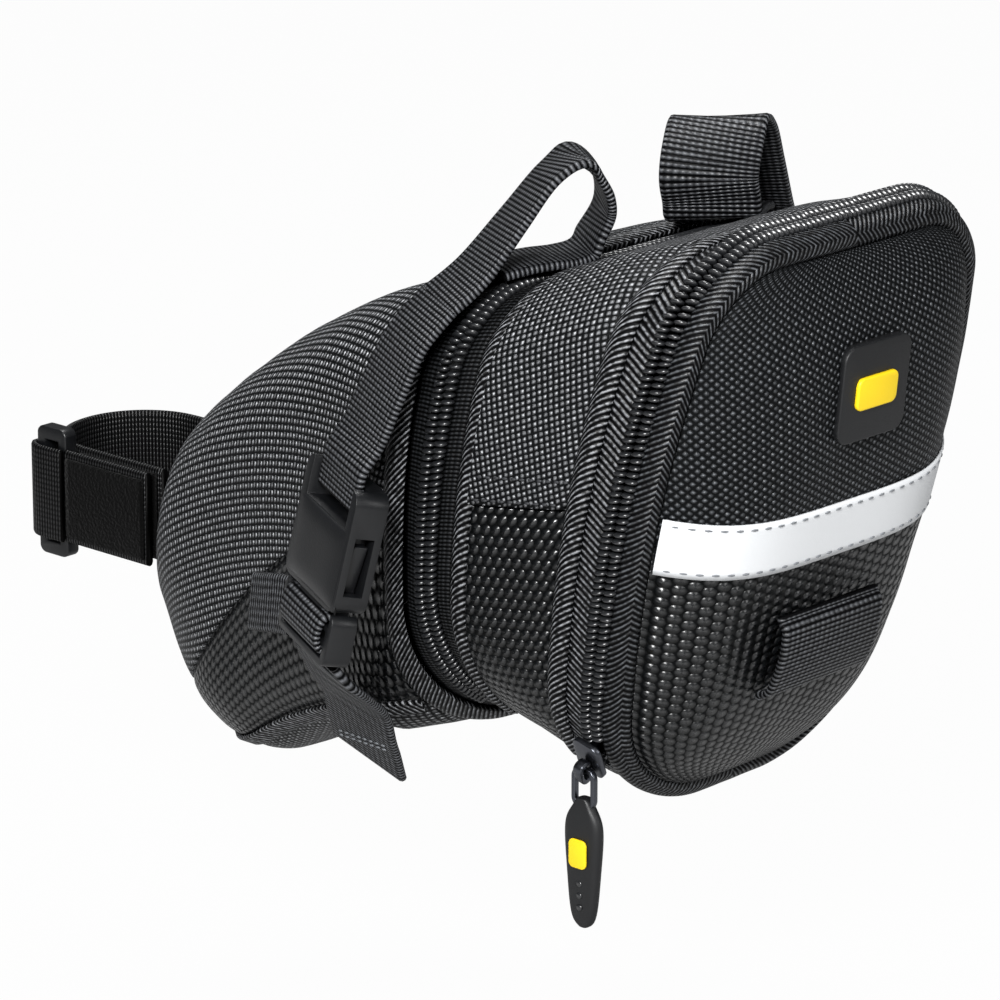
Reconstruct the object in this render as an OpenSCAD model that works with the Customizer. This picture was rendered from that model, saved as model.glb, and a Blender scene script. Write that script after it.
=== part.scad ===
// Expandable wedge saddle bag with a rear clamshell lid, two rail straps and a seatpost strap.
// Millimetres. +Z is up, +Y points to the seatpost, the lid faces -Y.
// The origin lies midway between the two saddle rails that the straps hang from.

/* [Lid and main zipper] */
// Height of the main zipper loop above its middle
lid_up = 59; // [56:1:62]
// Height of the main zipper loop below its middle
lid_down = 66; // [63:1:69]
// Width of the zipper loop at its top
lid_top_w = 78; // [74:1:82]
// Width of the zipper loop at its foot
lid_low_w = 68; // [64:1:72]
// How far the sides of the zipper loop swell
lid_bulge = 9.5; // [7:0.5:11]
// Radius of the lid's upper corners
lid_top_r = 18; // [14:1:22]
// Radius of the lid's lower corners
lid_low_r = 25; // [22:1:28]
// Backward lean of the lid in degrees
lid_lean = 14.5; // [11:0.5:17]
// Depth of the lid's edge band behind the zipper
lid_depth = 7; // [6:0.5:9]
// How far the edge band reaches in over the lid's face
lid_edge = 4; // [3.5:0.5:6]
// Swell of the lid's face
lid_dome = 12; // [8:0.5:14]
// Height of the lid's fold line below its middle
fold_drop = 56; // [53:1:58]

/* [Rear sleeve] */
// Distance from the lid's zipper to the expansion zipper
mid_depth = 42.6; // [40:0.2:48]
// Width of the main zipper's tape on the sleeve
main_tape_w = 8; // [6:0.5:10]
// Width of the expansion zipper's tape
exp_tape_w = 4; // [3:0.5:5]
// Width of each closed zipper's coil pair
chain_w = 6; // [5:0.5:7]
// Height of the zipper coil above the tape
chain_t = 2; // [1.6:0.1:2.4]

/* [Front section] */
// Height of the front rim above its middle
rim_up = 42; // [40:1:45]
// Height of the front rim below its middle
rim_down = 56.5; // [54:0.5:59]
// Width of the front rim at its top
rim_top_w = 99; // [95:1:103]
// Width of the front rim at its foot
rim_low_w = 83; // [80:1:88]
// How far the sides of the front rim swell
rim_bulge = 7; // [5:0.5:9]
// Radius of the rim's upper corners
rim_top_r = 16; // [13:1:20]
// Radius of the rim's lower corners
rim_low_r = 40; // [36:1:41]
// Backward lean of the rim in degrees
rim_lean = 10; // [7:0.5:12]
// How far the rim binding stands proud of the sleeve
rim_proud = 1.8; // [1.4:0.1:2.4]
// Width of the rim binding
rim_band = 6; // [5:0.5:8]
// Distance from the expansion zipper to the nose
nose_reach = 110; // [100:1:120]
// Drop from the rim's middle to the nose
nose_drop = 57; // [50:1:62]
// Width of the nose before it rounds over
nose_w = 70; // [64:1:76]
// How far the base of the front section sags
belly = 2.5; // [1:0.5:4]
// Radius along the lower edge of the front section
base_r = 14; // [11:1:18]
// Radius of the rounded nose
nose_r = 29; // [26:1:30]
// Thickness of the padded fabric
wall = 2; // [1.6:0.1:2.6]

/* [Straps and buckles] */
// Width of the rail strap webbing
web_w = 20; // [18:0.5:22]
// Thickness of the webbing
web_t = 1.8; // [1.4:0.1:2.2]
// Width of a buckle
buckle_w = 27; // [26:0.5:30]
// Thickness of a buckle
buckle_t = 7; // [6.5:0.5:8]
// Length of a buckle's socket
socket_l = 25; // [25:0.5:28]
// Travel that frees a buckle
release = 17; // [16:0.5:17]
// Running clearance in the buckles and sliders
play = 0.4; // [0.3:0.05:0.6]

/* [Seatpost strap] */
// Diameter of the seatpost
post_d = 31.6; // [27.2:0.1:34.9]
// Width of the seatpost strap
post_w = 25; // [20:0.5:28]
// Thickness of each strap layer
post_t = 1.8; // [1.4:0.1:2.2]

/* [Lid trim] */
// Width of the reflective strip
strip_w = 12; // [10:0.5:14]
// Width of the light loop
loop_w = 30; // [26:1:34]
// Height of the light loop
loop_h = 19; // [16:1:21]
// Side of the rubber patch
patch_w = 20; // [16:1:24]
// Length of the zipper pull's grip
grip_l = 24; // [20:1:28]

/* [Hidden] */
$fn = 48;

// Colours of the materials
fabric_c = "#26272a";
vinyl_c = "#1d1f23";
tape_c = "#1a1b1d";
coil_c = "#0e0f10";
web_c = "#1f2022";
acetal_c = "#2b2c2f";
metal_c = "#3a3b3f";
rubber_c = "#2c2d30";
yellow_c = "#e8c81c";
silver_c = "#c3c6c9";

// Places of the main planes
lid_y = -28.6;
lid_z = -57.4;
rim_y = lid_y + mid_depth;
rim_z = -58;
nose_lean = -25;
nose_up = 23;
nose_down = 41;
nose_top_r = 18;
nose_low_r = 26;
back_hump = 13;
// Clearance between pieces that move past each other, and the lap at sewn joints
gap = 0.3;
lap = 0.05;
// Share of a section's lower height at which its base and its vinyl panel end
fold_share = 0.89;
seam_share = 0.1;
seam_fall = 0.5;
// Height of the sleeve's own seam at its lid end
seam_rise = 4.5;

// A section holds: y, z, lean, half top width, half foot width, height up, height down,
// upper radius, lower radius, side swell, fold line height, seam height
lid_sec = [lid_y, lid_z, lid_lean, lid_top_w / 2, lid_low_w / 2, lid_up, lid_down,
    lid_top_r, lid_low_r, lid_bulge, -fold_drop, 0];
foot_sec = [lid_y, lid_z, lid_lean, lid_top_w / 2, lid_low_w / 2, lid_up, lid_down,
    lid_top_r, lid_low_r, lid_bulge, -fold_drop - gap, 0];
rim_sec = [rim_y, rim_z, rim_lean, rim_top_w / 2, rim_low_w / 2, rim_up, rim_down,
    rim_top_r, rim_low_r, rim_bulge, -fold_share * rim_down, -seam_share * rim_down];

// Points on one half outline: foot flat, foot arc, lower side, upper side, top arc, top flat
foot_n = 2;
arc_n = 3;
low_n = 7;
high_n = 4;
top_n = 5;
flat_n = 3;
i_fold = foot_n + arc_n;
i_seam = i_fold + low_n;
i_half = i_seam + high_n + top_n + flat_n;
ring_n = 2 * i_half;

// Half width of a section set in by d, at height v
function half_w(s, d, v) = let(
    up = s[5] - d, down = s[6] - d, rt = s[7] - min(d, s[7] - 1), rb = s[8] - min(d, s[8] - 1),
    h = v > 0 ? s[5] : s[6],
    side = s[4] - d + (s[3] - s[4]) * (v + down) / (up + down) + s[9] * (1 - pow(v / h, 2)),
    t = max(0, v - up + rt), b = max(0, rb - down - v))
    side - rt + sqrt(max(0, rt * rt - t * t)) - rb + sqrt(max(0, rb * rb - b * b));

// Heights at which an outline is sampled
function heights(s, d) = let(
    up = s[5] - d, down = s[6] - d, rt = s[7] - min(d, s[7] - 1), f = max(s[10], -down + 1))
    concat([for (i = [0:arc_n]) -down + (f + down) * pow(i / arc_n, 2)],
        [for (i = [1:low_n]) f + (s[11] - f) * i / low_n],
        [for (i = [1:high_n]) s[11] + (up - rt - s[11]) * i / high_n],
        [for (i = [1:top_n]) up - rt + rt * sin(90 * i / top_n)]);

// Closed outline from the foot's middle, up the left side and down the right
function outline(s, d) = let(
    hs = heights(s, d), w0 = half_w(s, d, hs[0]), n = len(hs), w1 = half_w(s, d, hs[n - 1]),
    left = concat([for (i = [0:foot_n - 1]) [-w0 * i / foot_n, hs[0]]],
        [for (v = hs) [-half_w(s, d, v), v]],
        [for (i = [1:flat_n]) [-w1 * (1 - i / flat_n), hs[n - 1]]]))
    concat(left, [for (i = [i_half - 1:-1:1]) [-left[i].x, left[i].y]]);

// Puts outline points on a section's leaning plane, off mm behind it
function seat(s, p, off) = [p.x, s[0] - sin(s[2]) * p.y - cos(s[2]) * off,
    s[1] + cos(s[2]) * p.y - sin(s[2]) * off];
function ring(s, d, off = 0) = [for (p = outline(s, d)) seat(s, p, off)];

// Section of the sleeve, t = 0 at the expansion zipper and 1 at the main zipper
function with_seam(s, v) = [for (i = [0:11]) i == 11 ? v : s[i]];
function sleeve_sec(t) = with_seam(rim_sec + (lid_sec - rim_sec) * t, seam_rise * t);
// Distances run back from the expansion zipper, and forward of it they follow the front part
function sleeve_mm(a) = a < 0 ? front_sec(-a / nose_reach) : sleeve_sec(a / mid_depth);

// Section of the front part, u = 0 at its rim and 1 at the nose tip; the base is crispest at base_u.
// Its sag is deepest a third of the way on, where belly_k brings it to one
base_u = 0.25;
belly_k = 27 / 4;
shell_u = (chain_w / 2 + exp_tape_w + rim_band) / nose_reach;
function front_sec(u) = let(
    k0 = 1 - nose_r / nose_reach, k = max(0, (u - k0) / (1 - k0)),
    d = nose_r * (1 - sqrt(max(0, 1 - k * k))),
    w1 = max(3, rim_top_w / 2 + (nose_w - rim_top_w) / 2 * u - d),
    w2 = max(3, rim_low_w / 2 + (nose_w - rim_low_w) / 2 * u - d),
    up = max(4, rim_up + (nose_up - rim_up) * u - d),
    down = max(4, rim_down + (nose_down - rim_down) * u + belly * belly_k * u * (1 - u) * (1 - u) - d),
    rt = min(rim_top_r + (nose_top_r - rim_top_r) * u, 0.9 * w1, 0.9 * up),
    rb = min(lookup(u, [[0, rim_low_r], [base_u, base_r], [1, nose_low_r]]), 0.9 * w2, 0.9 * down))
    [rim_y + nose_reach * u, rim_z - nose_drop * u + 4 * back_hump * u * (1 - u),
        rim_lean + (nose_lean - rim_lean) * u, w1, w2, up, down, rt, rb, rim_bulge * (1 - u),
        -fold_share * down, -down * (seam_share + seam_fall * u * u)];
front_steps = concat([for (a = [90:-15:15]) 1 - nose_r / nose_reach * (1 - sin(a))],
    [for (i = [5:-1:0]) shell_u + (1 - nose_r / nose_reach - shell_u) * i / 5]);
// The shell stands proud at its rim and meets the plain section a third of the way on
grow_end = 0.3;
function front_grow(u) = rim_proud * max(0, 1 - (u - shell_u) / grow_end);

// Builds a closed wall between an outer and an inner grid, rows from front to rear
module skin(outer, inner, wrap = false) {
    m = len(outer);
    n = len(outer[0]);
    k = m * n;
    last = wrap ? n - 1 : n - 2;
    function id(l, i, j) = l * k + i * n + (j % n);
    cells = [for (i = [0:m - 2]) for (j = [0:last]) [i, j]];
    outer_f = [for (c = cells) each [
        [id(0, c.x, c.y), id(0, c.x, c.y + 1), id(0, c.x + 1, c.y + 1)],
        [id(0, c.x, c.y), id(0, c.x + 1, c.y + 1), id(0, c.x + 1, c.y)]]];
    inner_f = [for (c = cells) each [
        [id(1, c.x, c.y), id(1, c.x + 1, c.y + 1), id(1, c.x, c.y + 1)],
        [id(1, c.x, c.y), id(1, c.x + 1, c.y), id(1, c.x + 1, c.y + 1)]]];
    first_f = [for (j = [0:last]) each [
        [id(0, 0, j + 1), id(0, 0, j), id(1, 0, j)],
        [id(0, 0, j + 1), id(1, 0, j), id(1, 0, j + 1)]]];
    last_f = [for (j = [0:last]) each [
        [id(0, m - 1, j), id(0, m - 1, j + 1), id(1, m - 1, j + 1)],
        [id(0, m - 1, j), id(1, m - 1, j + 1), id(1, m - 1, j)]]];
    side_f = wrap ? [] : [for (i = [0:m - 2]) each [
        [id(0, i, 0), id(0, i + 1, 0), id(1, i + 1, 0)],
        [id(0, i, 0), id(1, i + 1, 0), id(1, i, 0)],
        [id(0, i + 1, n - 1), id(0, i, n - 1), id(1, i + 1, n - 1)],
        [id(0, i, n - 1), id(1, i, n - 1), id(1, i + 1, n - 1)]]];
    polyhedron(concat([for (r = outer) each r], [for (r = inner) each r]),
        concat(outer_f, inner_f, first_f, last_f, side_f), convexity = 8);
}

// Part of a ring between two outline indices, also across the foot's middle
function slice(r, a, b) = [for (i = [a:b]) r[(i + ring_n) % ring_n]];

// Wall of the sleeve between distances a and b from the expansion zipper, rows front to rear
module sleeve_wall(a, b, from, to, out = 0, thick = wall, rows = 2, wrap = false) {
    at = [for (i = [0:rows]) a + (b - a) * i / rows];
    skin([for (x = at) slice(ring(sleeve_mm(x), -out), from, to)],
        [for (x = at) slice(ring(sleeve_mm(x), thick - out), from, to)], wrap);
}

// Wall of the front part between two outline indices, drawn in and back at the nose tip
tip_taper = 0.9;
module front_wall(from, to) {
    outer = [for (u = front_steps) slice(ring(front_sec(u), -front_grow(u)), from, to)];
    inner = [for (u = front_steps) let(tip = u > 0.99)
        slice(ring(front_sec(u), (tip ? tip_taper : 1) * wall - front_grow(u), tip ? wall : 0), from, to)];
    skin(outer, inner);
}

// Flat webbing along hand-chosen points; side gives the direction of its width at each point
function unit(v) = v / norm(v);
function curve(p, i, t) = let(
    n = len(p) - 1, a = p[max(0, i - 1)], b = p[i], c = p[min(n, i + 1)], d = p[min(n, i + 2)])
    0.5 * (2 * b + (c - a) * t + (2 * a - 5 * b + 4 * c - d) * t * t + (3 * b - a - 3 * c + d) * t * t * t);
function smooth(p, k) = concat([for (i = [0:len(p) - 2]) for (j = [0:k - 1]) curve(p, i, j / k)],
    [p[len(p) - 1]]);
module webbing(path, side, w = web_w, t = web_t, steps = 3) {
    pts = smooth(path, steps);
    dirs = smooth(side, steps);
    n = len(pts);
    function along(i) = unit(pts[min(n - 1, i + 1)] - pts[max(0, i - 1)]);
    function across(i) = let(a = along(i), d = dirs[i]) unit(d - a * (a * d));
    ring4 = [for (i = [0:n - 1]) let(d = across(i) * w / 2, f = cross(along(i), across(i)) * t / 2)
        [pts[i] + d + f, pts[i] + d - f, pts[i] - d - f, pts[i] - d + f]];
    function id(i, j) = i * 4 + (j % 4);
    faces = concat([[0, 1, 2], [0, 2, 3]],
        [for (i = [0:n - 2]) for (j = [0:3]) each [
            [id(i, j), id(i + 1, j), id(i + 1, j + 1)], [id(i, j), id(i + 1, j + 1), id(i, j + 1)]]],
        [[id(n - 1, 0), id(n - 1, 2), id(n - 1, 1)], [id(n - 1, 0), id(n - 1, 3), id(n - 1, 2)]]);
    polyhedron([for (r = ring4) each r], faces, convexity = 8);
}

module mirrored(on) {
    if (on) mirror([1, 0, 0]) children();
    else children();
}

// Front section
module front_upper_panel() { color(fabric_c) front_wall(i_seam, ring_n - i_seam); }
module front_side_left() { color(vinyl_c) front_wall(i_fold, i_seam); }
module front_side_right() { color(vinyl_c) front_wall(ring_n - i_seam, ring_n - i_fold); }
module front_base_panel() { color(tape_c) front_wall(-i_fold, i_fold); }

// The small panel that closes the tip of the nose
module nose_panel() {
    tip = front_sec(1);
    deep = 0.8 * wall;
    face = ring(tip, 0.1);
    back = ring(tip, 0.1 + tip_taper * deep, deep);
    n = ring_n;
    color(fabric_c) polyhedron(concat(face, back, [seat(tip, [0, 0], 0), seat(tip, [0, 0], deep)]),
        [for (j = [0:n - 1]) let(k = (j + 1) % n) each [
            [2 * n, j, k], [2 * n + 1, n + k, n + j], [j, n + j, n + k], [j, n + k, k]]]);
}

sleeve_a = chain_w / 2 + exp_tape_w;
tape_t = 1.2;
coil_out = 0.6;
module front_rim_binding() {
    color(tape_c) sleeve_wall(-sleeve_a - rim_band, -sleeve_a, 0, ring_n - 1, rim_proud,
        rim_proud + wall - 0.4, 2, true);
}

// Plastic sheet that keeps the base flat, inside the front section
board_u = 0.16;
board_reach = 0.36;
board_in = 0.2;
board_t = 1.4;
module base_stiffener() {
    us = [for (i = [4:-1:0]) board_u + board_reach * i / 4];
    function rows(d) = [for (u = us) slice(ring(front_sec(u), wall + d), -i_fold + 1, i_fold - 1)];
    color(acetal_c) skin(rows(board_in), rows(board_in + board_t));
}

module expansion_tape_front() {
    color(tape_c) {
        sleeve_wall(-sleeve_a + lap, -chain_w / 2, i_fold, ring_n - i_fold, 0, tape_t, 1);
        sleeve_wall(-sleeve_a + lap, -gap, -i_fold, i_fold, 0, tape_t, 2);
    }
}
module expansion_coil_front() {
    color(coil_c) sleeve_wall(-chain_w / 2 + lap, -gap, i_fold, ring_n - i_fold, coil_out, chain_t, 1);
}

// Folded sleeve that unfolds when the expansion zipper is opened
gusset_near = 2;
gusset_l = 28;
gusset_in = 3.6;
gusset_dive = 0.3;
gusset_t = 1.2;
module expansion_gusset() {
    steps = [for (k = [3:-1:0]) gusset_l * k / 3];
    function rows(d) = [for (g = steps) ring(sleeve_mm(-gusset_near - g), gusset_in + gusset_dive * g + d)];
    color(tape_c) skin(rows(0), rows(gusset_t), true);
}

// Buckle frame: z = 0 at the mouth of the socket, x across its thickness, y across its width
buckle_at = [-66, 30.2, -77.5];
buckle_turn = -24;
buckle_tilt = 12;
buckle_lean = 4;
module at_buckle(side) {
    mirrored(side > 0) translate(buckle_at) rotate([buckle_lean, buckle_tilt, buckle_turn]) children();
}
function turn_x(p, a) = [p.x, p.y * cos(a) - p.z * sin(a), p.y * sin(a) + p.z * cos(a)];
function turn_y(p, a) = [p.x * cos(a) + p.z * sin(a), p.y, p.z * cos(a) - p.x * sin(a)];
function turn_z(p, a) = [p.x * cos(a) - p.y * sin(a), p.x * sin(a) + p.y * cos(a), p.z];
function like_buckle(d) = turn_z(turn_y(turn_x(d, buckle_lean), buckle_tilt), buckle_turn);
function in_buckle(p) = buckle_at + like_buckle(p);
buckle_across = like_buckle([0, -1, 0]);

// Rail straps, drawn on the left side and mirrored to the right
arch_path = [[-35, 13.6, -14.8], [-31.2, 11.3, -13.9], [-27, 8.7, -13.3], [-22.6, 6, -13], [-19.3, 3.9, -11.8],
    [-17.9, 3, -8.6], [-15.5, 1.75, -3.3], [-16.7, 2, 2.3], [-21, 3.95, 6.7], [-26.7, 6.45, 4.1],
    [-33.1, 9.7, -4.1], [-40.5, 13.5, -13.8], [-46.5, 17, -19.4]];
arch_side = [[-0.51, -0.84, 0.08], [-0.51, -0.84, 0.08], [-0.51, -0.84, 0.08], [-0.52, -0.84, 0.08],
    [-0.54, -0.83, 0.1], [-0.57, -0.81, 0.1], [-0.62, -0.77, 0.07], [-0.66, -0.74, 0.05], [-0.67, -0.74, 0.05],
    [-0.64, -0.76, 0.05], [-0.59, -0.8, 0.03], [-0.53, -0.85, 0], [-0.5, -0.87, -0.02]];
// The ends meet the buckles in the recess at the top of the socket
strap_in = -1.5;
end_path = concat([[-46.8, 17.2, -19.8], [-52.2, 20.2, -26.4], [-56.2, 22.7, -35.7], [-59.6, 24.9, -44.6]],
    [for (z = [3, -1, -5]) in_buckle([strap_in, 0, socket_l + z])]);
end_side = concat([[-0.5, -0.87, -0.02], [-0.47, -0.88, -0.04], [-0.44, -0.9, -0.06], [-0.43, -0.9, -0.07]],
    [for (i = [0:2]) buckle_across]);
module rail_strap() { color(web_c) webbing(arch_path, arch_side); }
module left_rail_strap() { rail_strap(); }
module right_rail_strap() { mirrored(true) rail_strap(); }
module strap_end() { color(web_c) webbing(end_path, end_side); }
module left_strap_end() { strap_end(); }
module right_strap_end() { mirrored(true) strap_end(); }

// Plate with rounded edges across the buckle's width
module pad(t, w, l, r) {
    rotate([0, 90, 0]) linear_extrude(t, center = true) rounded(l, w, r);
}
module rounded(a, b, r) {
    for (y = [-1, 1]) for (x = [-1, 1]) translate([x * (a / 2 - r), y * (b / 2 - r)]) circle(r);
    square([a - 2 * r, b], center = true);
    square([a, b - 2 * r], center = true);
}
cave_w = buckle_w - 5;
cave_t = buckle_t - 3;
cave_l = socket_l - 9;
slot_h = 2.4;
slot_room = 0.6;
recess_h = 5.6;
window_w = 8;
window_h = 12;
window_z = 3;
module buckle_socket() {
    color(acetal_c) difference() {
        translate([0, 0, socket_l / 2]) pad(buckle_t, buckle_w, socket_l, 3);
        translate([-cave_t / 2, -cave_w / 2, -1]) cube([cave_t, cave_w, cave_l + 1]);
        for (s = [-1, 1]) translate([-cave_t / 2, s * buckle_w / 2 - window_w / 2, cave_l - window_h])
            cube([cave_t, window_w, window_h]);
        translate([-buckle_t, -web_w / 2 - slot_room, socket_l - recess_h - slot_h])
            cube([2 * buckle_t, web_w + 2 * slot_room, slot_h + lap]);
        translate([-buckle_t, -web_w / 2 - slot_room, socket_l - recess_h])
            cube([buckle_t + strap_in + web_t / 2 + 2 * lap, web_w + 2 * slot_room, socket_l]);
        translate([-buckle_t, -window_w / 2, window_z]) cube([buckle_t, window_w, window_h]);
    }
}
module left_buckle_socket() { at_buckle(-1) buckle_socket(); }
module right_buckle_socket() { at_buckle(1) buckle_socket(); }

plug_l = release - 2;
base_l = 11;
base_slot = 2;
prong_w = 4;
pad_out = 1.8;
post_half = 2;
prong_l = release - 1;
prong_y = cave_w / 2 - prong_w / 2 - play;
module buckle_plug() {
    color(acetal_c) {
        difference() {
            translate([0, 0, -base_l / 2 - play]) pad(buckle_t - 1.5, web_w + 6, base_l, 2.5);
            for (z = [4, 7.5]) translate([-buckle_t, -web_w / 2 - slot_room, -z - base_slot - play])
                cube([2 * buckle_t, web_w + 2 * slot_room, base_slot]);
            for (s = [-1, 1]) translate([-buckle_t, s * prong_y - prong_w / 2 - 2 * play, -3 - play])
                cube([2 * buckle_t, prong_w + 4 * play, 4]);
        }
        translate([-cave_t / 2 + play, -post_half, -1]) cube([cave_t - 2 * play, 2 * post_half, plug_l]);
    }
}
module left_buckle_plug() { at_buckle(-1) buckle_plug(); }
module right_buckle_plug() { at_buckle(1) buckle_plug(); }

// Sprung prong hinged at its foot, its press pad sloped so that the socket draws it in
module prong(s) {
    t = cave_t - 2 * play;
    edge = s * (prong_y + prong_w / 2);
    color(acetal_c) {
        translate([-t / 2, s * prong_y - prong_w / 2, -2 - play]) cube([t, prong_w, prong_l + 2]);
        rotate([90, 0, 90]) linear_extrude(t, center = true)
            polygon([[edge - s, 5], [edge, 5], [edge + s * pad_out, 14], [edge - s, 14]]);
    }
}
module left_front_prong() { at_buckle(-1) prong(1); }
module left_rear_prong() { at_buckle(-1) prong(-1); }
module right_front_prong() { at_buckle(1) prong(1); }
module right_rear_prong() { at_buckle(1) prong(-1); }

// Lower straps run from the plug down to the base; the spare webbing hangs forward of the plug
low_path = concat([for (z = [0.8, 3.4]) in_buckle([1, 0, -base_l - play - z])],
    [[-64, 32, -96], [-58.5, 34.5, -100.6], [-51, 38, -104.4], [-45.2, 41.5, -108], [-42.9, 43.6, -112.5],
        [-42.2, 44.7, -117], [-41.9, 45.4, -121.5]]);
low_side = concat([for (i = [0:1]) -buckle_across],
    [[0.4, 0.91, 0.07], [0.34, 0.94, 0.07], [0.26, 0.96, 0.08], [0.19, 0.97, 0.09], [0.14, 0.98, 0.1],
        [0.11, 0.98, 0.1], [0.11, 0.98, 0.1]]);
tail_path = [for (p = [[0, 0.9, -7.7], [-0.3, 5, -9], [-0.8, 11, -11], [-1, 17, -13]])
    in_buckle(p + [0, web_w / 2 + 3, 0])];
tail_side = [for (i = [0:3]) like_buckle([0, 0, 1])];
module lower_strap() { color(web_c) webbing(low_path, low_side); }
module left_lower_strap() { lower_strap(); }
module right_lower_strap() { mirrored(true) lower_strap(); }
tail_w = 12;
module strap_tail() { color(web_c) webbing(tail_path, tail_side, tail_w); }
module left_strap_tail() { strap_tail(); }
module right_strap_tail() { mirrored(true) strap_tail(); }

// Seatpost strap: a band round the post, a ring at its front and a flap folded back over the left leg
leg_l = 26;
anchor_rise = 22;
anchor_y = rim_y + nose_reach + 2;
post_y = anchor_y + leg_l;
post_z = rim_z - nose_drop + anchor_rise;
post_r = post_d / 2;
module post_band(r, t) {
    difference() {
        union() {
            cylinder(h = post_w, r = r + t, center = true);
            translate([-r - t, -leg_l, -post_w / 2]) cube([2 * (r + t), leg_l, post_w]);
        }
        cylinder(h = post_w + 2, r = r, center = true);
        translate([-r, -leg_l - 1, -post_w / 2 - 1]) cube([2 * r, leg_l + 1, post_w + 2]);
    }
}
module seatpost_wrap() {
    color(web_c) translate([0, post_y, post_z]) post_band(post_r, post_t);
}
module seatpost_anchor() {
    color(web_c) translate([-post_r - post_t, anchor_y - post_t, post_z - post_w / 2])
        cube([2 * (post_r + post_t), post_t, post_w]);
}
ring_w = 3.4;
ring_bar = 4;
ring_slot = 4;
ring_ahead = 6;
ring_x = -post_r - post_t - 0.15;
module seatpost_ring() {
    color(acetal_c) translate([ring_x - ring_w / 2, post_y + ring_ahead, post_z]) difference() {
        rotate([0, -90, 0]) linear_extrude(ring_w, center = true)
            rounded(post_w + 2 * ring_bar + 1, ring_slot + ring_bar + 1, 2);
        cube([2 * ring_w, ring_slot, post_w + 2], center = true);
    }
}
flap_l = 26;
nap_t = 1;
hook_t = 0.9;
flap_x = ring_x - 2.5 - post_t;
flap_y = post_y + 1.2;
module loop_patch() {
    color(web_c) translate([ring_x - nap_t, flap_y - flap_l + 1, post_z - post_w / 2 + 1])
        cube([nap_t, flap_l - 2, post_w - 2]);
}
module seatpost_flap() {
    color(web_c) translate([flap_x, flap_y - flap_l, post_z - post_w / 2])
        cube([post_t, flap_l, post_w]);
}
module hook_patch() {
    color(web_c) translate([flap_x + post_t, flap_y - flap_l + 1, post_z - post_w / 2 + 1])
        cube([hook_t, flap_l - 2, post_w - 2]);
}

// Rear sleeve
sleeve_b = mid_depth - chain_w / 2 - main_tape_w;
module sleeve_upper_panel() { color(fabric_c) sleeve_wall(sleeve_a, sleeve_b, i_seam, ring_n - i_seam); }
module sleeve_side_left() { color(vinyl_c) sleeve_wall(sleeve_a, sleeve_b, i_fold, i_seam); }
module sleeve_side_right() { color(vinyl_c) sleeve_wall(sleeve_a, sleeve_b, ring_n - i_seam, ring_n - i_fold); }
module sleeve_base_panel() { color(tape_c) sleeve_wall(gap, mid_depth - lap, -i_fold, i_fold, 0, wall, 4); }
module expansion_tape_rear() {
    color(tape_c) sleeve_wall(chain_w / 2, sleeve_a, i_fold, ring_n - i_fold, 0, tape_t, 1);
}
module expansion_coil_rear() {
    color(coil_c) sleeve_wall(gap, chain_w / 2 - lap, i_fold, ring_n - i_fold, coil_out, chain_t, 1);
}
module main_tape() {
    color(tape_c) sleeve_wall(sleeve_b, mid_depth - chain_w / 2, i_fold, ring_n - i_fold, 0, tape_t, 1);
}
module main_coil_sleeve() {
    color(coil_c) sleeve_wall(mid_depth - chain_w / 2 + lap, mid_depth - 0.5, i_fold, ring_n - i_fold,
        coil_out, chain_t, 1);
}

// The lid's edge band rolls from the zipper to the face
edge_turns = [0, 30, 60, 90];
function edge_in(a, t) = lid_edge * (1 - cos(a)) * (1 - t / lid_depth) + t;
function edge_off(a, t) = chain_w / 2 + (lid_depth - chain_w / 2 - t) * sin(a);
lid_t = 1.6;
function edge_rows(s, t, from, to) = [for (a = edge_turns)
    slice(ring(s, a == 90 ? lid_edge : edge_in(a, t), edge_off(a, t)), from, to)];
module lid_edge_band() {
    color(tape_c) skin(edge_rows(lid_sec, 0, i_fold, ring_n - i_fold),
        edge_rows(lid_sec, lid_t, i_fold, ring_n - i_fold));
}
// Below the fold the band runs on to the sleeve's base
module lid_foot_band() {
    color(tape_c) skin(
        concat([slice(ring(foot_sec, 0, lap), -i_fold, i_fold)], edge_rows(foot_sec, 0, -i_fold, i_fold)),
        concat([slice(ring(foot_sec, lid_t, lap), -i_fold, i_fold)], edge_rows(foot_sec, lid_t, -i_fold, i_fold)));
}
// The lid's coil half starts above the slider, clear of the fold
module main_coil_lid() {
    function half(d) = [for (o = [0.5, chain_w / 2]) slice(ring(lid_sec, d, o), i_fold + 1, ring_n - i_fold - 1)];
    color(coil_c) skin(half(-coil_out), half(chain_t - coil_out));
}

// The lid's face is a grid of rows across the lid, swelling towards the middle
cols = [-1, -0.9, -0.75, -0.5, 0, 0.5, 0.75, 0.9, 1];
function face_off(f, v) = lid_depth + lid_dome * (1 - pow(f, 4))
    * (1 - pow(v / ((v > 0 ? lid_up : lid_down) - lid_edge), 4));
function face_row(v, deep) = let(w = half_w(lid_sec, lid_edge, v))
    [for (f = cols) seat(lid_sec, [f * w, v], face_off(f, v) - deep)];
module face_patch(rows, deep, thick) {
    skin([for (v = rows) face_row(v, deep)], [for (v = rows) face_row(v, deep + thick)]);
}
lid_rows = heights(lid_sec, lid_edge);
foot_rows = heights(foot_sec, lid_edge);
row_fold = arc_n;
row_seam = arc_n + low_n;
row_top = len(lid_rows) - 1;
module lid_upper_panel() { color(fabric_c) face_patch([for (i = [row_top:-1:row_seam]) lid_rows[i]], 0, lid_t); }
module lid_lower_panel() { color(vinyl_c) face_patch([for (i = [row_seam:-1:row_fold]) lid_rows[i]], 0, lid_t); }
module lid_foot_panel() { color(vinyl_c) face_patch([for (i = [row_fold:-1:0]) foot_rows[i]], 0, lid_t); }
module lid_stiffener() {
    color(tape_c) face_patch([for (i = [row_top - 1:-1:row_fold + 1]) lid_rows[i]], lid_t + lap, 1.5);
}
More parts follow.
